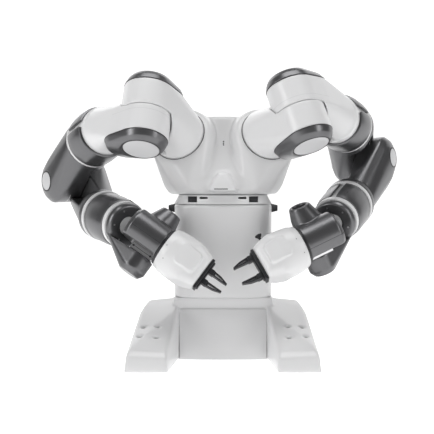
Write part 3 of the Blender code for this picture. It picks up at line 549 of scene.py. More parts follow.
def elbow_end(housing, name, empty, at, side, tail):
    """Disc in the +Z or -Z end of an elbow housing, and a grey line that paints the highlight on its cap
    seam.
    """
    floor, mouth = side * (ELBOW_DOME - 0.0040), side * 0.0900
    cut(housing, rod("disc_seat", floor, mouth, ELBOW_DISC_RADIUS + GAP, empty, at, None, SMALL_ROUND))
    start, end = side * (ELBOW_DOME - 0.0037), side * (ELBOW_DOME + 0.0005)
    rod(name + "_disc", start, end, ELBOW_DISC_RADIUS, empty, at, DISC_GREY, SMALL_ROUND)
    # Dark ring round the disc paints the shade of the recess it sits in
    disc_shade_ring(name + "_disc", ELBOW_DISC_RADIUS, 0.0024, start, end, empty, at)
    # Light grey band on the cap seam: a real seam, with a painted highlight along its edge
    heights = (side * (ELBOW_HALF - 0.0200), side * (ELBOW_HALF - 0.0190))
    line = band(heights, ELBOW_RADIUS + LINE_PROUD, tail, ELBOW_TAIL_RADIUS + LINE_PROUD)
    line_round(name + "_line", name, line, empty, at, DISC_GREY)


def scoop(housing, radius, side, low, high, empty, at):
    """Clear the room in which the other half of a bend and its neck turn."""
    cut(housing, rod("scoop", side * GAP, side * -FAR, radius + SCOOP_GAP, empty, at))
    cut(housing, block("neck_room", (*low, side * GAP), (*high, side * -FAR), empty, at))


def build_shoulder(word, one, two):
    """First and second links: the shoulder bend and the upper arm."""
    bend = move(SHOULDER_BEND_OUT, 0.0, SHOULDER_BEND_UP) @ turn(90.0, "X")
    tail = (-0.0120, -0.0280)
    seam = -(SHOULDER_BEND_UP - SEAT_HEIGHT - GAP)
    points = band((-0.0020, BEND_HALF), BEND_RADIUS, tail, BEND_TAIL_RADIUS)
    for rise in (0.0, 0.0090):
        points += ring((-SHOULDER_BEND_OUT, seam + rise, 0.0), SHOULDER_FLANGE_RADIUS, "Y")
    housing = skin(word + "_shoulder_housing", points, one, bend, SHELL_WHITE)
    scoop(housing, BEND_RADIUS, 1.0, (-0.0160, seam + 0.0100), (FAR, FAR), one, bend)
    cut(housing, rod("drive_room", 0.0060, 0.0700, 0.0300, one, bend))
    bend_end(word + "_shoulder", one, bend, 1.0, tail)

    tail = (-0.0150, 0.0300)
    points = band((0.0020, -BEND_HALF), BEND_RADIUS, tail, BEND_TAIL_RADIUS)
    points += ring((-UPPER_ROLL_BACK, 0.1050, 0.0), UPPER_TUBE_RADIUS + 0.0005, "Y")
    housing = skin(word + "_upper_arm", points, two, here, SHELL_WHITE)
    scoop(housing, BEND_RADIUS, -1.0, (-0.0180, -FAR), (FAR, 0.0980), two, here)
    tube = move(-UPPER_ROLL_BACK, 0.0, 0.0) @ turn(-90.0, "X")
    profile = [(UPPER_FLANGE_RADIUS, UPPER_SEAM), (UPPER_FLANGE_RADIUS, 0.1612)]
    profile += [(UPPER_TUBE_RADIUS, 0.1600), (UPPER_TUBE_RADIUS, 0.0950)]
    join(housing, turned("upper_tube", profile, two, tube))
    bend_end(word + "_upper_arm", two, here, -1.0, tail)
    proud = LINE_PROUD / 2.0
    line = band((-0.0112, -0.0105), BEND_RADIUS + proud, tail, BEND_TAIL_RADIUS + proud)
    line_round(word + "_upper_arm_line", word + "_upper_arm", line, two, here, DISC_GREY)
    inside = UPPER_TUBE_RADIUS + 0.0010
    profile = [(inside, 0.1590), (UPPER_COVER_RADIUS - 0.0012, 0.1588), (UPPER_COVER_RADIUS, 0.1450)]
    profile += [(UPPER_COVER_RADIUS, 0.1250), (UPPER_COVER_RADIUS - 0.0015, 0.1110), (inside, 0.1090)]
    profile += profile[:1]
    for label, side in (("front", 1.0), ("rear", -1.0)):
        cover = turned(word + "_upper_cover_" + label, profile, two, tube, CAST_GREY)
        low = (-0.0700, side * STRIPE_WIDTH / 2.0, 0.0800)
        cut(cover, block("upper_stripe", low, (0.0700, side * -0.0700, 0.1900), two, tube))


def build_elbow(word, three, four):
    """Third and fourth links: both halves of the elbow."""
    elbow = move(-ELBOW_BACK, 0.0, ELBOW_UP) @ turn(-90.0, "Y") @ turn(90.0, "X")
    seam = -(ELBOW_UP + 0.0051)
    tail = (-0.0200, -0.0160)
    points = elbow_points(1.0, tail)
    for rise in (0.0, 0.0100):
        points += ring((seam + rise, -ELBOW_BACK, 0.0), ELBOW_FLANGE_RADIUS, "X")
    housing = skin(word + "_elbow_housing", points, three, elbow, CAST_GREY)
    scoop(housing, ELBOW_RADIUS, 1.0, (seam + 0.0103, -0.0260), (FAR, FAR), three, elbow)
    elbow_end(housing, word + "_elbow_housing", three, elbow, 1.0, tail)

    seam = FOREARM_ROLL_ALONG + FOREARM_START - GAP
    tail = (0.0160, 0.0200)
    points = elbow_points(-1.0, tail) + ring((FOREARM_ROLL_OUT, 0.1010, 0.0), 0.0400, "Y")
    housing = skin(word + "_elbow_neck", points, four, here, CAST_GREY)
    scoop(housing, ELBOW_RADIUS, -1.0, (-FAR, -FAR), (0.0260, 0.0980), four, here)
    elbow_end(housing, word + "_elbow_neck", four, here, -1.0, tail)
    neck = move(FOREARM_ROLL_OUT, 0.0, 0.0) @ turn(-90.0, "X")
    profile = [(FOREARM_FLANGE_RADIUS, seam), (FOREARM_FLANGE_RADIUS, 0.1120)]
    profile += [(0.0395, 0.1010), (0.0385, 0.0950)]
    join(housing, turned("neck_flange", profile, four, neck))


def build_forearm(word, five, mirror):
    """Fifth link: forearm frame, its cover and the one-sided wrist fork."""
    profile = [(FOREARM_CORE_RADIUS, FORK_END - 0.0010), (FOREARM_CORE_RADIUS, FOREARM_FRAME_END)]
    profile += [(0.0415, FOREARM_FRAME_END), (0.0415, FOREARM_COVER_END + 0.0008)]
    profile += [(FOREARM_RADIUS, FOREARM_COVER_END), (FOREARM_RADIUS, FOREARM_RING_END + 0.0010)]
    profile += [(FOREARM_FLANGE_RADIUS, FOREARM_RING_END), (FOREARM_FLANGE_RADIUS, FOREARM_START)]
    core = turned(word + "_forearm_frame", profile, five, here, SHELL_WHITE)
    cut(core, rod("cable_hole", FORK_END - 0.0150, 0.0900, 0.0050, five, here, None, 16))
    inside = FOREARM_RADIUS + 0.0011
    low = FOREARM_RING_END + 0.0014
    high = FOREARM_COVER_END - 0.0004
    profile = [(inside, high), (FOREARM_COVER_RADIUS - 0.0020, high - 0.0006), (FOREARM_COVER_RADIUS, 0.0120)]
    profile += [(FOREARM_COVER_RADIUS, -0.0100), (FOREARM_COVER_RADIUS - 0.0005, low + 0.0004)]
    profile += [(inside, low), (inside, high)]
    cover = turned(word + "_forearm_cover", profile, five, here, CAST_GREY)
    at = turn(-FOREARM_STRIPE_ANGLE * mirror, "Z")
    half = STRIPE_WIDTH / 2.0
    cut(cover, block("forearm_stripe", (0.0, -half, -0.0700), (0.0700, half, 0.0700), five, at))
    at = turn(-(FOREARM_STRIPE_ANGLE - 26.0) * mirror, "Z")
    body_of[word + "_forearm_slot"] = body_of[word + "_forearm_cover"]
    near = (FOREARM_COVER_RADIUS - 0.0015, -0.0008, 0.0020)
    far = (FOREARM_COVER_RADIUS + 0.0001, 0.0008, 0.0110)
    block(word + "_forearm_slot", near, far, five, at, DARK_PLASTIC)
    profile = [(FOREARM_RADIUS - 0.0030, FORK_END), (FOREARM_RADIUS, FORK_END - 0.0060)]
    profile += [(FOREARM_RADIUS, FOREARM_FRAME_END + GAP)]
    fork = turned(word + "_wrist_fork", profile, five, here, CAST_GREY)
    points = []
    for depth in (0.0440, FORK_END - 0.0010):
        for degrees in range(-34, 35, 4):
            swing = math.radians(degrees)
            points.append(Vector((0.0400 * math.sin(swing), mirror * 0.0400 * math.cos(swing), depth)))
    for out, inset in ((FORK_GAP, 0.0), (FORK_OUTER - 0.0100, 0.0), (FORK_OUTER, 0.0070)):
        points += ring((-WRIST_BEND_BACK, mirror * out, WRIST_BEND_ALONG), FORK_RADIUS - inset, "Y")
    join(fork, skin("fork_arm", points, five, here))
    cut(fork, rod("core_hole", 0.0100, 0.0900, FOREARM_CORE_RADIUS + GAP, five, here))


def build_wrist(word, six, up):
    """Sixth link: tapered casing, its end disc and the clamp; up is its cone side."""
    points = circle(up * CASING_BOTTOM, CASING_RADIUS - 0.0020)
    points += circle(up * (CASING_BOTTOM + 0.0040), CASING_RADIUS) + circle(up * 0.0060, CASING_RADIUS)
    points += ring((TOOL_ROLL_OUT, CASING_FACE + 0.0050, 0.0), CASING_NECK_RADIUS, "Y")
    points += ring((DRUM_OUT, DRUM_BACK + DRUM_EDGE, 0.0), DRUM_RADIUS, "Y")
    points += ring((DRUM_OUT, DRUM_BACK, 0.0), DRUM_RADIUS - DRUM_EDGE, "Y")
    casing = skin(word + "_wrist_casing", points, six, here, CAST_GREY)
    cone = ring((0.0080, -0.0070, up * -0.0080), CASING_RADIUS + 0.0010)
    cone += ring((0.0070, -0.0070, up * CASING_TOP), CASING_RADIUS)
    cone += ring((0.0020, -0.0020, up * 0.0380), CONE_RADIUS + 0.0070) + circle(up * CONE_END, CONE_RADIUS)
    join(casing, skin("cone_form", cone, six, here))
    cut(casing, block("casing_face", (-FAR, CASING_FACE, -FAR), (FAR, FAR, FAR), six, here))
    far = (FAR, CASING_FACE - 0.0036, up * -FAR)
    cut(casing, block("clamp_room", (-FAR, -FAR, up * CASING_BOTTOM), far, six, here))
    floor = CONE_END - CUP_DEPTH
    cut(casing, rod("cup", up * floor, up * FAR, WRIST_DISC_RADIUS + GAP, six, here, None, SMALL_ROUND))
    start, end = up * (floor + GAP), up * (floor + 0.0025)
    rod(word + "_wrist_disc", start, end, WRIST_DISC_RADIUS, six, here, DISC_GREY, SMALL_ROUND)
    outline = [(DRUM_OUT, DRUM_BACK + DRUM_EDGE, DRUM_RADIUS)]
    outline += [(DRUM_OUT, DRUM_BACK - LINE_PROUD, DRUM_RADIUS - DRUM_EDGE)]
    outline += [(TOOL_ROLL_OUT, CASING_FACE - 0.0006, CASING_NECK_RADIUS)]
    line = []
    for z in (up * -0.0034, up * -0.0028):
        line += circle(z, CASING_RADIUS + LINE_PROUD)
        for x, y, wide in outline:
            line += [(x + out * (wide + LINE_PROUD), y, z) for out in (-1.0, 1.0)]
    line_round(word + "_wrist_casing_line", word + "_wrist_casing", line, six, here, DARK_PLASTIC)
    low = up * (CASING_BOTTOM - GAP)
    high = -up * (FORK_GAP - GAP)
    middle = (low + high) / 2.0
    body_of[word + "_wrist_clamp_line"] = body_of[word + "_wrist_clamp"]
    near, far = (0.0200, -0.0223, middle - 0.0004), (0.0252, 0.0216, middle + 0.0004)
    block(word + "_wrist_clamp_line", near, far, six, here, DARK_PLASTIC)
    clamp = rod(word + "_wrist_clamp", low, high, CLAMP_RADIUS, six, here, STEEL)
    join(clamp, block("clamp_bar", (0.0, -0.0222, low), (0.0250, 0.0215, high), six, here))
    for y in CLAMP_SCREWS_Y:
        hole = ring((0.0200, y, middle), 0.0018, "X", 12) + ring((0.0300, y, middle), 0.0018, "X", 12)
        cut(clamp, skin("clamp_screw", hole, six, here))


def build_gripper(word, seven, finger_one, finger_two, opening):
    """Seventh link: tool flange and gripper body, with two sliding fingers."""
    rod(word + "_tool_flange", FLANGE_START, FLANGE_END, TOOL_FLANGE_RADIUS, seven, here, DARK_PLASTIC)
    points = circle(FLANGE_END + GAP, 0.0370) + circle(0.0120, 0.0410)
    points += circle(0.0260, BODY_RADIUS) + circle(0.0400, BODY_RADIUS - 0.0005)
    corners = [(0.0520, 0.0242, 0.0186, 0.0147), (0.0640, 0.0226, 0.0162, 0.0135)]
    corners += [(BODY_FRONT - 0.0060, 0.0200, 0.0140, 0.0120), (BODY_FRONT, 0.0210, 0.0120, 0.0095)]
    for z, across, up, radius in corners:
        for x, y in ((across, up), (-across, up), (across, -up), (-across, -up)):
            points += ring((x, y, z), radius, "Z", SMALL_ROUND)
    body = skin(word + "_gripper_body", points, seven, here, SHELL_WHITE)
    for y in (-1.0, 1.0):
        pad = []
        for x, high, z in ((0.0120, 0.0415, 0.0360), (0.0110, 0.0357, 0.0600)):
            pad += ring((x, y * high, z), 0.0075, "Y") + ring((-x, y * high, z), 0.0075, "Y")
            pad += ring((x, y * 0.0200, z), 0.0095, "Y") + ring((-x, y * 0.0200, z), 0.0095, "Y")
        join(body, skin("gripper_pad", pad, seven, here))
    low = (-0.0300, -0.0110, BODY_FRONT + GAP)
    plate = block(word + "_gripper_plate", low, (0.0300, 0.0110, PLATE_END), seven, here, DARK_PLASTIC)
    join(plate, block("rail_form", (-0.0270, -0.0060, 0.0830), (0.0270, 0.0060, RAIL_END), seven, here))
    for label, empty, side in (("finger_a", finger_one, 1.0), ("finger_b", finger_two, -1.0)):
        low = (side * (opening - 0.0050), -0.0075, RAIL_END + GAP)
        high = (side * (opening + 0.0045), 0.0075, FINGER_ROOT_END)
        finger = block(word + "_" + label, low, high, empty, here, DARK_PLASTIC)
        blade = []
        for y in (-1.0, 1.0):
            blade += [Vector((side * (opening + x), y * 0.0060, 0.0920)) for x in (-0.0042, 0.0045)]
            blade += [Vector((side * (opening + x), y * 0.0040, FINGER_TIP)) for x in (-0.0045, -0.0015)]
            blade += [Vector((side * (opening + 0.0028), y * 0.0050, 0.1100))]
        join(finger, skin("finger_blade", blade, empty, here))
        window = ((-0.0016, 0.0985), (0.0020, 0.0985), (-0.0026, 0.1160), (-0.0006, 0.1160))
        points = [Vector((side * (opening + x), y, z)) for y in (-0.0200, 0.0200) for x, z in window]
        cut(finger, skin("finger_window", points, empty, here))
    return body


def build_arm(word, shoulder, turns, mirror, opening):
    """One arm; mirror is +1 or -1 and swaps the wrist left for right."""
    steps = [
        shoulder,
        move(SHOULDER_BEND_OUT, 0.0, SHOULDER_BEND_UP) @ turn(90.0, "X"),
        move(-UPPER_ROLL_BACK, UPPER_ROLL_ALONG, 0.0) @ turn(-90.0, "X"),
        move(-ELBOW_BACK, 0.0, ELBOW_UP) @ turn(-90.0, "Y") @ turn(90.0, "X"),
        move(FOREARM_ROLL_OUT, FOREARM_ROLL_ALONG, 0.0) @ turn(-90.0, "X"),
        move(-WRIST_BEND_BACK, 0.0, WRIST_BEND_ALONG) @ turn(90.0, "X"),
        move(TOOL_ROLL_OUT, TOOL_ROLL_ALONG, 0.0) @ turn(-90.0, "X"),
    ]
    links = []
    parent = base_frame
    for number, (step, angle) in enumerate(zip(steps, turns), start=1):
        parent = joint_empty(f"{word}_joint_{number}", parent, step @ turn(angle, "Z"))
        links.append(parent)
    fingers = [joint_empty(f"{word}_slide_{label}", parent, Matrix.Identity(4)) for label in ("a", "b")]
    build_shoulder(word, links[0], links[1])
    build_elbow(word, links[2], links[3])
    build_forearm(word, links[4], mirror)
    build_wrist(word, links[5], mirror)
    body = build_gripper(word, links[6], *fingers, opening)
    links_of[word] = links
    return body, links[6]


links_of = {}
base_frame = joint_empty("base_frame", None, Matrix.Identity(4))
right_turn = Euler((-SHOULDER_ROLL, SHOULDER_PITCH, -SHOULDER_YAW - math.pi), "XYZ").to_matrix().to_4x4()
left_turn = Euler((SHOULDER_ROLL, SHOULDER_PITCH, SHOULDER_YAW), "XYZ").to_matrix().to_4x4()
right_shoulder = move(-SHOULDER_X, SHOULDER_Y, SHOULDER_Z) @ right_turn
left_shoulder = move(SHOULDER_X, SHOULDER_Y, SHOULDER_Z) @ left_turn
build_pedestal(base_frame)
build_torso(base_frame, [right_shoulder, left_shoulder])
build_arm("right", right_shoulder, RIGHT_TURNS, 1.0, RIGHT_OPENING)
left_body, left_tool = build_arm("left", left_shoulder, LEFT_TURNS, -1.0, LEFT_OPENING)

# Small suction cup that stands in a bore in the side of the left gripper
cup_at = move(-0.0330, 0.0, CUP_HEIGHT) @ turn(-90.0, "Y")
profile = [(0.0066, 0.0190), (0.0060, 0.0175), (0.0024, 0.0130), (0.0024, 0.0084)]
profile += [(SUCTION_FOOT_RADIUS, 0.0080), (SUCTION_FOOT_RADIUS, 0.0)]
turned("left_suction_cup", profile, left_tool, cup_at, CUP_RUBBER, SMALL_ROUND)
bore = rod("cup_bore", -GAP, 0.0400, SUCTION_FOOT_RADIUS + GAP, left_tool, cup_at, None, SMALL_ROUND)
cut(left_body, bore)


def shared_group(name, kind, inputs, outputs):
    """Node group with named sockets and its two end nodes."""
    group = bpy.data.node_groups.new(name, kind)
    for label, socket, value in inputs:
        made = group.interface.new_socket(label, in_out="INPUT", socket_type=socket)
        if value is not None:
            made.default_value = value
    for label, socket in outputs:
        group.interface.new_socket(label, in_out="OUTPUT", socket_type=socket)
    return group, group.nodes.new("NodeGroupInput"), group.nodes.new("NodeGroupOutput")


def sum_node(nodes, kind, operation, second=None):
    made = nodes.new(kind)
    made.operation = operation
    if second is not None:
        made.inputs[1].default_value = second
    return made


def surface_group():
    """Painted, moulded or machined surface: fine grain, uneven tone and uneven gloss."""
    inputs = (
        ("Colour", "NodeSocketColor", (0.8, 0.8, 0.8, 1.0)),
        ("Roughness", "NodeSocketFloat", 0.4),
        ("Grain scale", "NodeSocketFloat", 900.0),
        ("Grain depth", "NodeSocketFloat", 0.10),
        ("Stretch", "NodeSocketFloat", 1.0),
        ("Unevenness", "NodeSocketFloat", 0.06),
    )
    outputs = (
        ("Base Color", "NodeSocketColor"),
        ("Roughness", "NodeSocketFloat"),
        ("Normal", "NodeSocketVector"),
    )
    group, given, made = shared_group("worked_surface", "ShaderNodeTree", inputs, outputs)
    nodes, link = group.nodes, group.links.new
    place = nodes.new("ShaderNodeTexCoord")
    stretch = nodes.new("ShaderNodeCombineXYZ")
    stretch.inputs["X"].default_value = 1.0
    stretch.inputs["Y"].default_value = 1.0
    scaled = sum_node(nodes, "ShaderNodeVectorMath", "MULTIPLY")
    grain = nodes.new("ShaderNodeTexNoise")
    grain.inputs["Detail"].default_value = 2.0
    bump = nodes.new("ShaderNodeBump")
    bump.inputs["Distance"].default_value = 0.0003
    broad = nodes.new("ShaderNodeTexNoise")
    broad.inputs["Scale"].default_value = 14.0
    broad.inputs["Detail"].default_value = 4.0
    centred = sum_node(nodes, "ShaderNodeMath", "SUBTRACT", 0.5)
    amount = sum_node(nodes, "ShaderNodeMath", "MULTIPLY")
    gloss = sum_node(nodes, "ShaderNodeMath", "ADD")
    gain = sum_node(nodes, "ShaderNodeMath", "ADD", 1.0)
    tone = sum_node(nodes, "ShaderNodeVectorMath", "SCALE")
    link(given.outputs["Stretch"], stretch.inputs["Z"])
    link(place.outputs["Object"], scaled.inputs[0])
    link(stretch.outputs["Vector"], scaled.inputs[1])
    link(scaled.outputs["Vector"], grain.inputs["Vector"])
    link(given.outputs["Grain scale"], grain.inputs["Scale"])
    link(grain.outputs["Fac"], bump.inputs["Height"])
    link(given.outputs["Grain depth"], bump.inputs["Strength"])
    link(place.outputs["Object"], broad.inputs["Vector"])
    link(broad.outputs["Fac"], centred.inputs[0])
    link(centred.outputs["Value"], amount.inputs[0])
    link(given.outputs["Unevenness"], amount.inputs[1])
    link(given.outputs["Roughness"], gloss.inputs[0])
    link(amount.outputs["Value"], gloss.inputs[1])
    link(amount.outputs["Value"], gain.inputs[0])
    link(given.outputs["Colour"], tone.inputs[0])
    link(gain.outputs["Value"], tone.inputs["Scale"])
    link(tone.outputs["Vector"], made.inputs["Base Color"])
    link(gloss.outputs["Value"], made.inputs["Roughness"])
    link(bump.outputs["Normal"], made.inputs["Normal"])
    return group


surface = surface_group()


def finish_material(
    name, colour, roughness, metallic=0.0, coat=0.0,
    grain=900.0, depth=0.10, stretch=1.0, uneven=0.06, glow=0.0,
):
    material = bpy.data.materials.new(name)
    material.use_nodes = True
    nodes, link = material.node_tree.nodes, material.node_tree.links.new
    shader = nodes["Principled BSDF"]
    worked = nodes.new("ShaderNodeGroup")
    worked.node_tree = surface
    values = {"Colour": (*colour, 1.0), "Roughness": roughness, "Grain scale": grain}
    values.update({"Grain depth": depth, "Stretch": stretch, "Unevenness": uneven})
    for label, value in values.items():
        worked.inputs[label].default_value = value
    shader.inputs["Metallic"].default_value = metallic
    shader.inputs["Coat Weight"].default_value = coat
    if glow:
        shader.inputs["Emission Color"].default_value = (1.0, 1.0, 1.0, 1.0)
        shader.inputs["Emission Strength"].default_value = glow
    for socket in ("Base Color", "Roughness", "Normal"):
        link(worked.outputs[socket], shader.inputs[socket])
    return material


finishes = {
    SHELL_WHITE: finish_material(
        "white_paint_finish", (0.74, 0.74, 0.745), 0.33, coat=0.20, depth=0.06, uneven=0.03
    ),
    CAST_GREY: finish_material(
        "grey_casting_finish", (0.16, 0.16, 0.165), 0.30, metallic=0.80, depth=0.12, uneven=0.10
    ),
    DISC_GREY: finish_material("grey_plastic_finish", (0.60, 0.60, 0.61), 0.42, depth=0.08),
    DARK_PLASTIC: finish_material("black_plastic_finish", (0.022, 0.022, 0.025), 0.38, grain=1400.0),
    CUP_RUBBER: finish_material("cup_rubber_finish", (0.015, 0.015, 0.016), 0.62, depth=0.20),
    STEEL: finish_material("steel_finish", (0.78, 0.78, 0.79), 0.30, metallic=1.0, depth=0.08, stretch=0.08),
    BOARD_GREEN: finish_material("green_board_finish", (0.02, 0.16, 0.06), 0.45, coat=0.30),
}


def settle(made, name, look, body):
    """A piece of its own from an evaluated form, with its place in its mesh."""
    bpy.context.view_layer.update()
    shown = made.evaluated_get(bpy.context.evaluated_depsgraph_get())
    mesh = bpy.data.meshes.new_from_object(shown)
    mesh.transform(made.matrix_world)
    mesh.materials.clear()
    mesh.materials.append(finishes[look])
    piece = bpy.data.objects.new(name, mesh)
    bpy.context.scene.collection.objects.link(piece)
    mesh.shade_smooth()
    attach(piece, body)
    return piece


pieces = {}
for name, (made, look) in forms.items():
    softened = next((value for ending, value in SOFTENED.items() if name.endswith(ending)), None)
    if softened:
        remesh = made.modifiers.new("remesh", "REMESH")
        remesh.mode = "VOXEL"
        remesh.voxel_size = softened[0]
        soften = made.modifiers.new("soften", "SMOOTH")
        soften.factor = 0.5
        soften.iterations = softened[1]
    else:
        bevel = made.modifiers.new("bevel", "BEVEL")
        bevel.width = BEVELS.get(name, SMALL_BEVEL)
        bevel.segments = 3
        bevel.limit_method = "ANGLE"
        bevel.angle_limit = math.radians(35.0)
    piece = settle(made, name + "_fine", look, body_of.get(name, "base"))
    if not softened:
        piece.data.set_sharp_from_angle(angle=math.radians(32.0))
    if name in frame["nodes"]:
        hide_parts(name)
    pieces[name] = piece

# Inner pieces whose CAD shape is right get their finish here
KEPT = {
    "connector_panel": DARK_PLASTIC,
    "control_board": BOARD_GREEN,
    "power_supply": STEEL,
    "cooling_fan": DARK_PLASTIC,
    "right_shoulder_drive": STEEL,
    "left_shoulder_drive": STEEL,
}
for name, look in KEPT.items():
    for material_slot in frame["nodes"][name].material_slots:
        material_slot.material = finishes[look]


def copying_group():
    """Puts a copy of a small shape on every point, turned to face outward there."""
    inputs = (
        ("Geometry", "NodeSocketGeometry", None),
        ("Shape", "NodeSocketObject", None),
        ("Size", "NodeSocketFloat", 1.0),
        ("Finish", "NodeSocketMaterial", None),
    )
    outputs = (("Geometry", "NodeSocketGeometry"),)
    group, given, made = shared_group("copies_on_points", "GeometryNodeTree", inputs, outputs)
    nodes, link = group.nodes, group.links.new
    shape = nodes.new("GeometryNodeObjectInfo")
    facing = nodes.new("GeometryNodeInputNamedAttribute")
    facing.data_type = "FLOAT_VECTOR"
    facing.inputs["Name"].default_value = "outward"
    align = nodes.new("FunctionNodeAlignRotationToVector")
    align.axis = "Z"
    copies = nodes.new("GeometryNodeInstanceOnPoints")
    real = nodes.new("GeometryNodeRealizeInstances")
    paint = nodes.new("GeometryNodeSetMaterial")
    link(given.outputs["Shape"], shape.inputs["Object"])
    link(given.outputs["Geometry"], copies.inputs["Points"])
    link(shape.outputs["Geometry"], copies.inputs["Instance"])
    link(facing.outputs["Attribute"], align.inputs["Vector"])
    link(align.outputs["Rotation"], copies.inputs["Rotation"])
    link(given.outputs["Size"], copies.inputs["Scale"])
    link(copies.outputs["Instances"], real.inputs["Geometry"])
    link(real.outputs["Geometry"], paint.inputs["Geometry"])
    link(given.outputs["Finish"], paint.inputs["Material"])
    link(paint.outputs["Geometry"], made.inputs["Geometry"])
    return group


copying = copying_group()

# Small shapes one unit across; each faces +Z and sinks a little below its point
screw_shape = rod("screw_shape", -0.60, 0.25, 0.5, base_frame, here, None, 32)
cut(screw_shape, rod("socket_shape", -0.10, 0.60, 0.26, base_frame, here, None, 6))
dot_shape = rod("dot_shape", -0.30, 0.04, 0.5, base_frame, here, None, 24)
oval = [point for z in (-0.17, 0.03) for x in (-0.32, 0.32) for point in ring((x, 0.0, z), 0.18, "Z", 24)]
oval_shape = skin("oval_shape", oval, base_frame, here)
slit_shape = block("slit_shape", (-0.5, -0.035, -0.10), (0.5, 0.035, 0.012), base_frame, here)


def copies(name, places, shape, size, look, body):
    """One piece that holds a copy of a small shape at each (point, outward) place."""
    mesh = bpy.data.meshes.new(name + "_points")
    mesh.from_pydata([point for point, outward in places], [], [])
    facing = mesh.attributes.new("outward", "FLOAT_VECTOR", "POINT")
    for index, (point, outward) in enumerate(places):
        facing.data[index].vector = outward
    points = bpy.data.objects.new(name + "_points", mesh)
    built.objects.link(points)
    spread = points.modifiers.new("copies", "NODES")
    spread.node_group = copying
    values = {"Shape": shape, "Size": size, "Finish": finishes[look]}
    for item in copying.interface.items_tree:
        if item.in_out == "INPUT" and item.name in values:
            spread[item.identifier] = values[item.name]
    piece = settle(points, name, look, body)
    piece.data.set_sharp_from_angle(angle=math.radians(30.0))
    return piece


def seen_at(name, across, down):
    """Point and outward direction where the camera sees a piece at a point of the picture."""
    tilt = math.radians(CAMERA_PITCH)
    ahead = Vector((0.0, math.cos(tilt), -math.sin(tilt)))
    up = Vector((0.0, math.sin(tilt), math.cos(tilt)))
    aim = ahead * FOCAL_PIXELS + Vector((across - CENTRE_ACROSS, 0.0, 0.0)) + up * (CENTRE_DOWN - down)
    hit, point, outward, face = pieces[name].ray_cast(Vector(CAMERA_AT), aim.normalized())
    if not hit:
        raise ValueError(f"the camera does not see {name} at {across}, {down}")
    return point, outward


# Marks that the photograph shows: piece, carrier, size, shape and picture points
MARKS = (
    ("nose_vent", "torso_shell", 0.0240, slit_shape, ((221.0, 189.0),)),
    ("left_gripper_marks", "left_gripper_body", 0.0016, dot_shape, ((296.4, 238.8), (304.5, 252.4))),
    ("right_gripper_marks", "right_gripper_body", 0.0016, dot_shape, ((167.0, 245.0), (163.0, 258.0))),
    ("torso_mark", "torso_shell", 0.0026, dot_shape, ((223.5, 141.5), (223.5, 143.2), (223.5, 144.9))),
)


def details():
    """Screws, dots and vents on the finished pieces."""
    recesses = [spot for side, word in SIDES for spot in recess_places(side)]
    outward = Vector((0.0, 0.0, 1.0))
    screws = [(spot @ Vector((0.0, 0.0, -0.0085)), spot.to_3x3() @ outward) for spot in recesses]
    copies("foot_screws", screws, screw_shape, 0.0066, STEEL, "base")
    for side, word in SIDES:
        five, six = (links_of[word][index].matrix_world for index in (4, 5))
        middle = side * (FORK_GAP - CASING_BOTTOM) / 2.0
        facing = six.to_3x3() @ Vector((1.0, 0.0, 0.0))
        screws = [(six @ Vector((0.0240, y, middle)), facing) for y in CLAMP_SCREWS_Y]
        copies(word + "_clamp_screws", screws, screw_shape, 0.0036, DARK_PLASTIC, word + "_link_6")
        facing = five.to_3x3() @ outward
        screws = []
        for degrees in range(30, 360, 60):
            swing = math.radians(degrees)
            across, up = FORK_SCREW_CIRCLE * math.cos(swing), FORK_SCREW_CIRCLE * math.sin(swing)
            screws.append((five @ Vector((across, up, FORK_END - 0.0002)), facing))
        copies(word + "_fork_screws", screws, screw_shape, 0.0030, STEEL, word + "_link_5")
    ovals = []
    for side, word in SIDES:
        spot = Vector((side * 0.0355, -0.0957, TORSO_BOTTOM_Z - 0.0052))
        ovals.append((spot, Vector((side * 0.0934, -0.9956, 0.0))))
    copies("waist_vents", ovals, oval_shape, 0.0110, DARK_PLASTIC, "base")
    spots = []
    for step in range(9):
        swing = math.radians(180.0 * (step + 0.5) / 9.0)
        across = 0.0105 * math.cos(swing)
        spots.append((across, -0.0990 + abs(across) * 0.094, 0.0030 + 0.0085 * math.sin(swing)))
    for across, rise in ((-0.0040, 0.0050), (0.0, 0.0050), (0.0040, 0.0050), (0.0, 0.0085)):
        spots.append((across, -0.0988, rise))
    vents = [(Vector((x, y, COLUMN_TOP_Z + rise)), Vector((0.0, -1.0, 0.0))) for x, y, rise in spots]
    copies("waist_vent_dots", vents, dot_shape, 0.0020, DARK_PLASTIC, "base")
    for name, carrier, size, shape, seen in MARKS:
        spots = [seen_at(carrier, *place) for place in seen]
        copies(name, spots, shape, size, DARK_PLASTIC, body_of.get(carrier, "base"))


details()

for leftover in list(built.objects):
    bpy.data.objects.remove(leftover, do_unlink=True)
bpy.data.collections.remove(built)

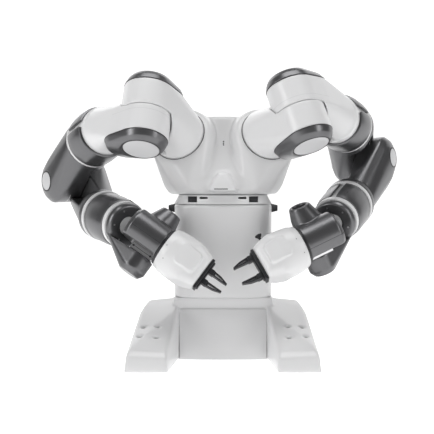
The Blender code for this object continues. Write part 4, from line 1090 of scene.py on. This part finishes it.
# Studio: a pale floor that rises behind the robot, and broad soft lights
profile_line = [(-6.0, 0.0)]
for step in range(13):
    swing = math.radians(90.0 * step / 12.0)
    profile_line.append((3.0 + 1.5 * math.sin(swing), 1.5 - 1.5 * math.cos(swing)))
profile_line.append((4.5, 6.0))
backdrop = bpy.data.meshes.new("backdrop")
corners = [(x, y, z - 0.0004) for y, z in profile_line for x in (-8.0, 8.0)]
faces = [(2 * index, 2 * index + 1, 2 * index + 3, 2 * index + 2) for index in range(len(profile_line) - 1)]
backdrop.from_pydata(corners, [], faces)
backdrop.shade_smooth()
pale = finish_material("backdrop_finish", (0.60, 0.60, 0.60), 0.80, depth=0.0, uneven=0.0, glow=0.82)
backdrop.materials.append(pale)
floor = bpy.data.objects.new("floor", backdrop)
bpy.context.scene.collection.objects.link(floor)


def softbox(name, place, aim, width, height, power):
    lamp = bpy.data.lights.new(name, "AREA")
    lamp.shape = "RECTANGLE"
    lamp.size = width
    lamp.size_y = height
    lamp.energy = power
    made = bpy.data.objects.new(name, lamp)
    bpy.context.scene.collection.objects.link(made)
    made.location = place
    made.rotation_euler = (Vector(aim) - Vector(place)).to_track_quat("-Z", "Y").to_euler()


softbox("top_light", (0.0, -0.3, 2.4), (0.0, 0.0, 0.2), 2.0, 1.4, 27.0)
softbox("left_light", (-2.0, -1.4, 1.1), (0.0, 0.0, 0.3), 0.7, 1.8, 19.0)
softbox("right_light", (2.0, -1.4, 1.1), (0.0, 0.0, 0.3), 0.7, 1.8, 13.0)
softbox("back_light", (0.0, 2.2, 1.6), (0.0, 0.0, 0.3), 2.5, 1.0, 6.0)

world = bpy.data.worlds.new("studio")
bpy.context.scene.world = world
world.use_nodes = True
background = world.node_tree.nodes["Background"]
background.inputs["Color"].default_value = (1.0, 1.0, 1.0, 1.0)
background.inputs["Strength"].default_value = 0.12
bpy.context.scene.view_settings.view_transform = "Standard"

lens = bpy.data.cameras.new("camera")
lens.sensor_width = 36.0
lens.lens = FOCAL_PIXELS * 36.0 / PICTURE
lens.shift_x = (PICTURE / 2.0 - CENTRE_ACROSS) / PICTURE
lens.shift_y = (CENTRE_DOWN - PICTURE / 2.0) / PICTURE
camera = bpy.data.objects.new("camera", lens)
bpy.context.scene.collection.objects.link(camera)
camera.location = CAMERA_AT
camera.rotation_euler = (math.radians(90.0 - CAMERA_PITCH), 0.0, 0.0)
bpy.context.scene.camera = camera
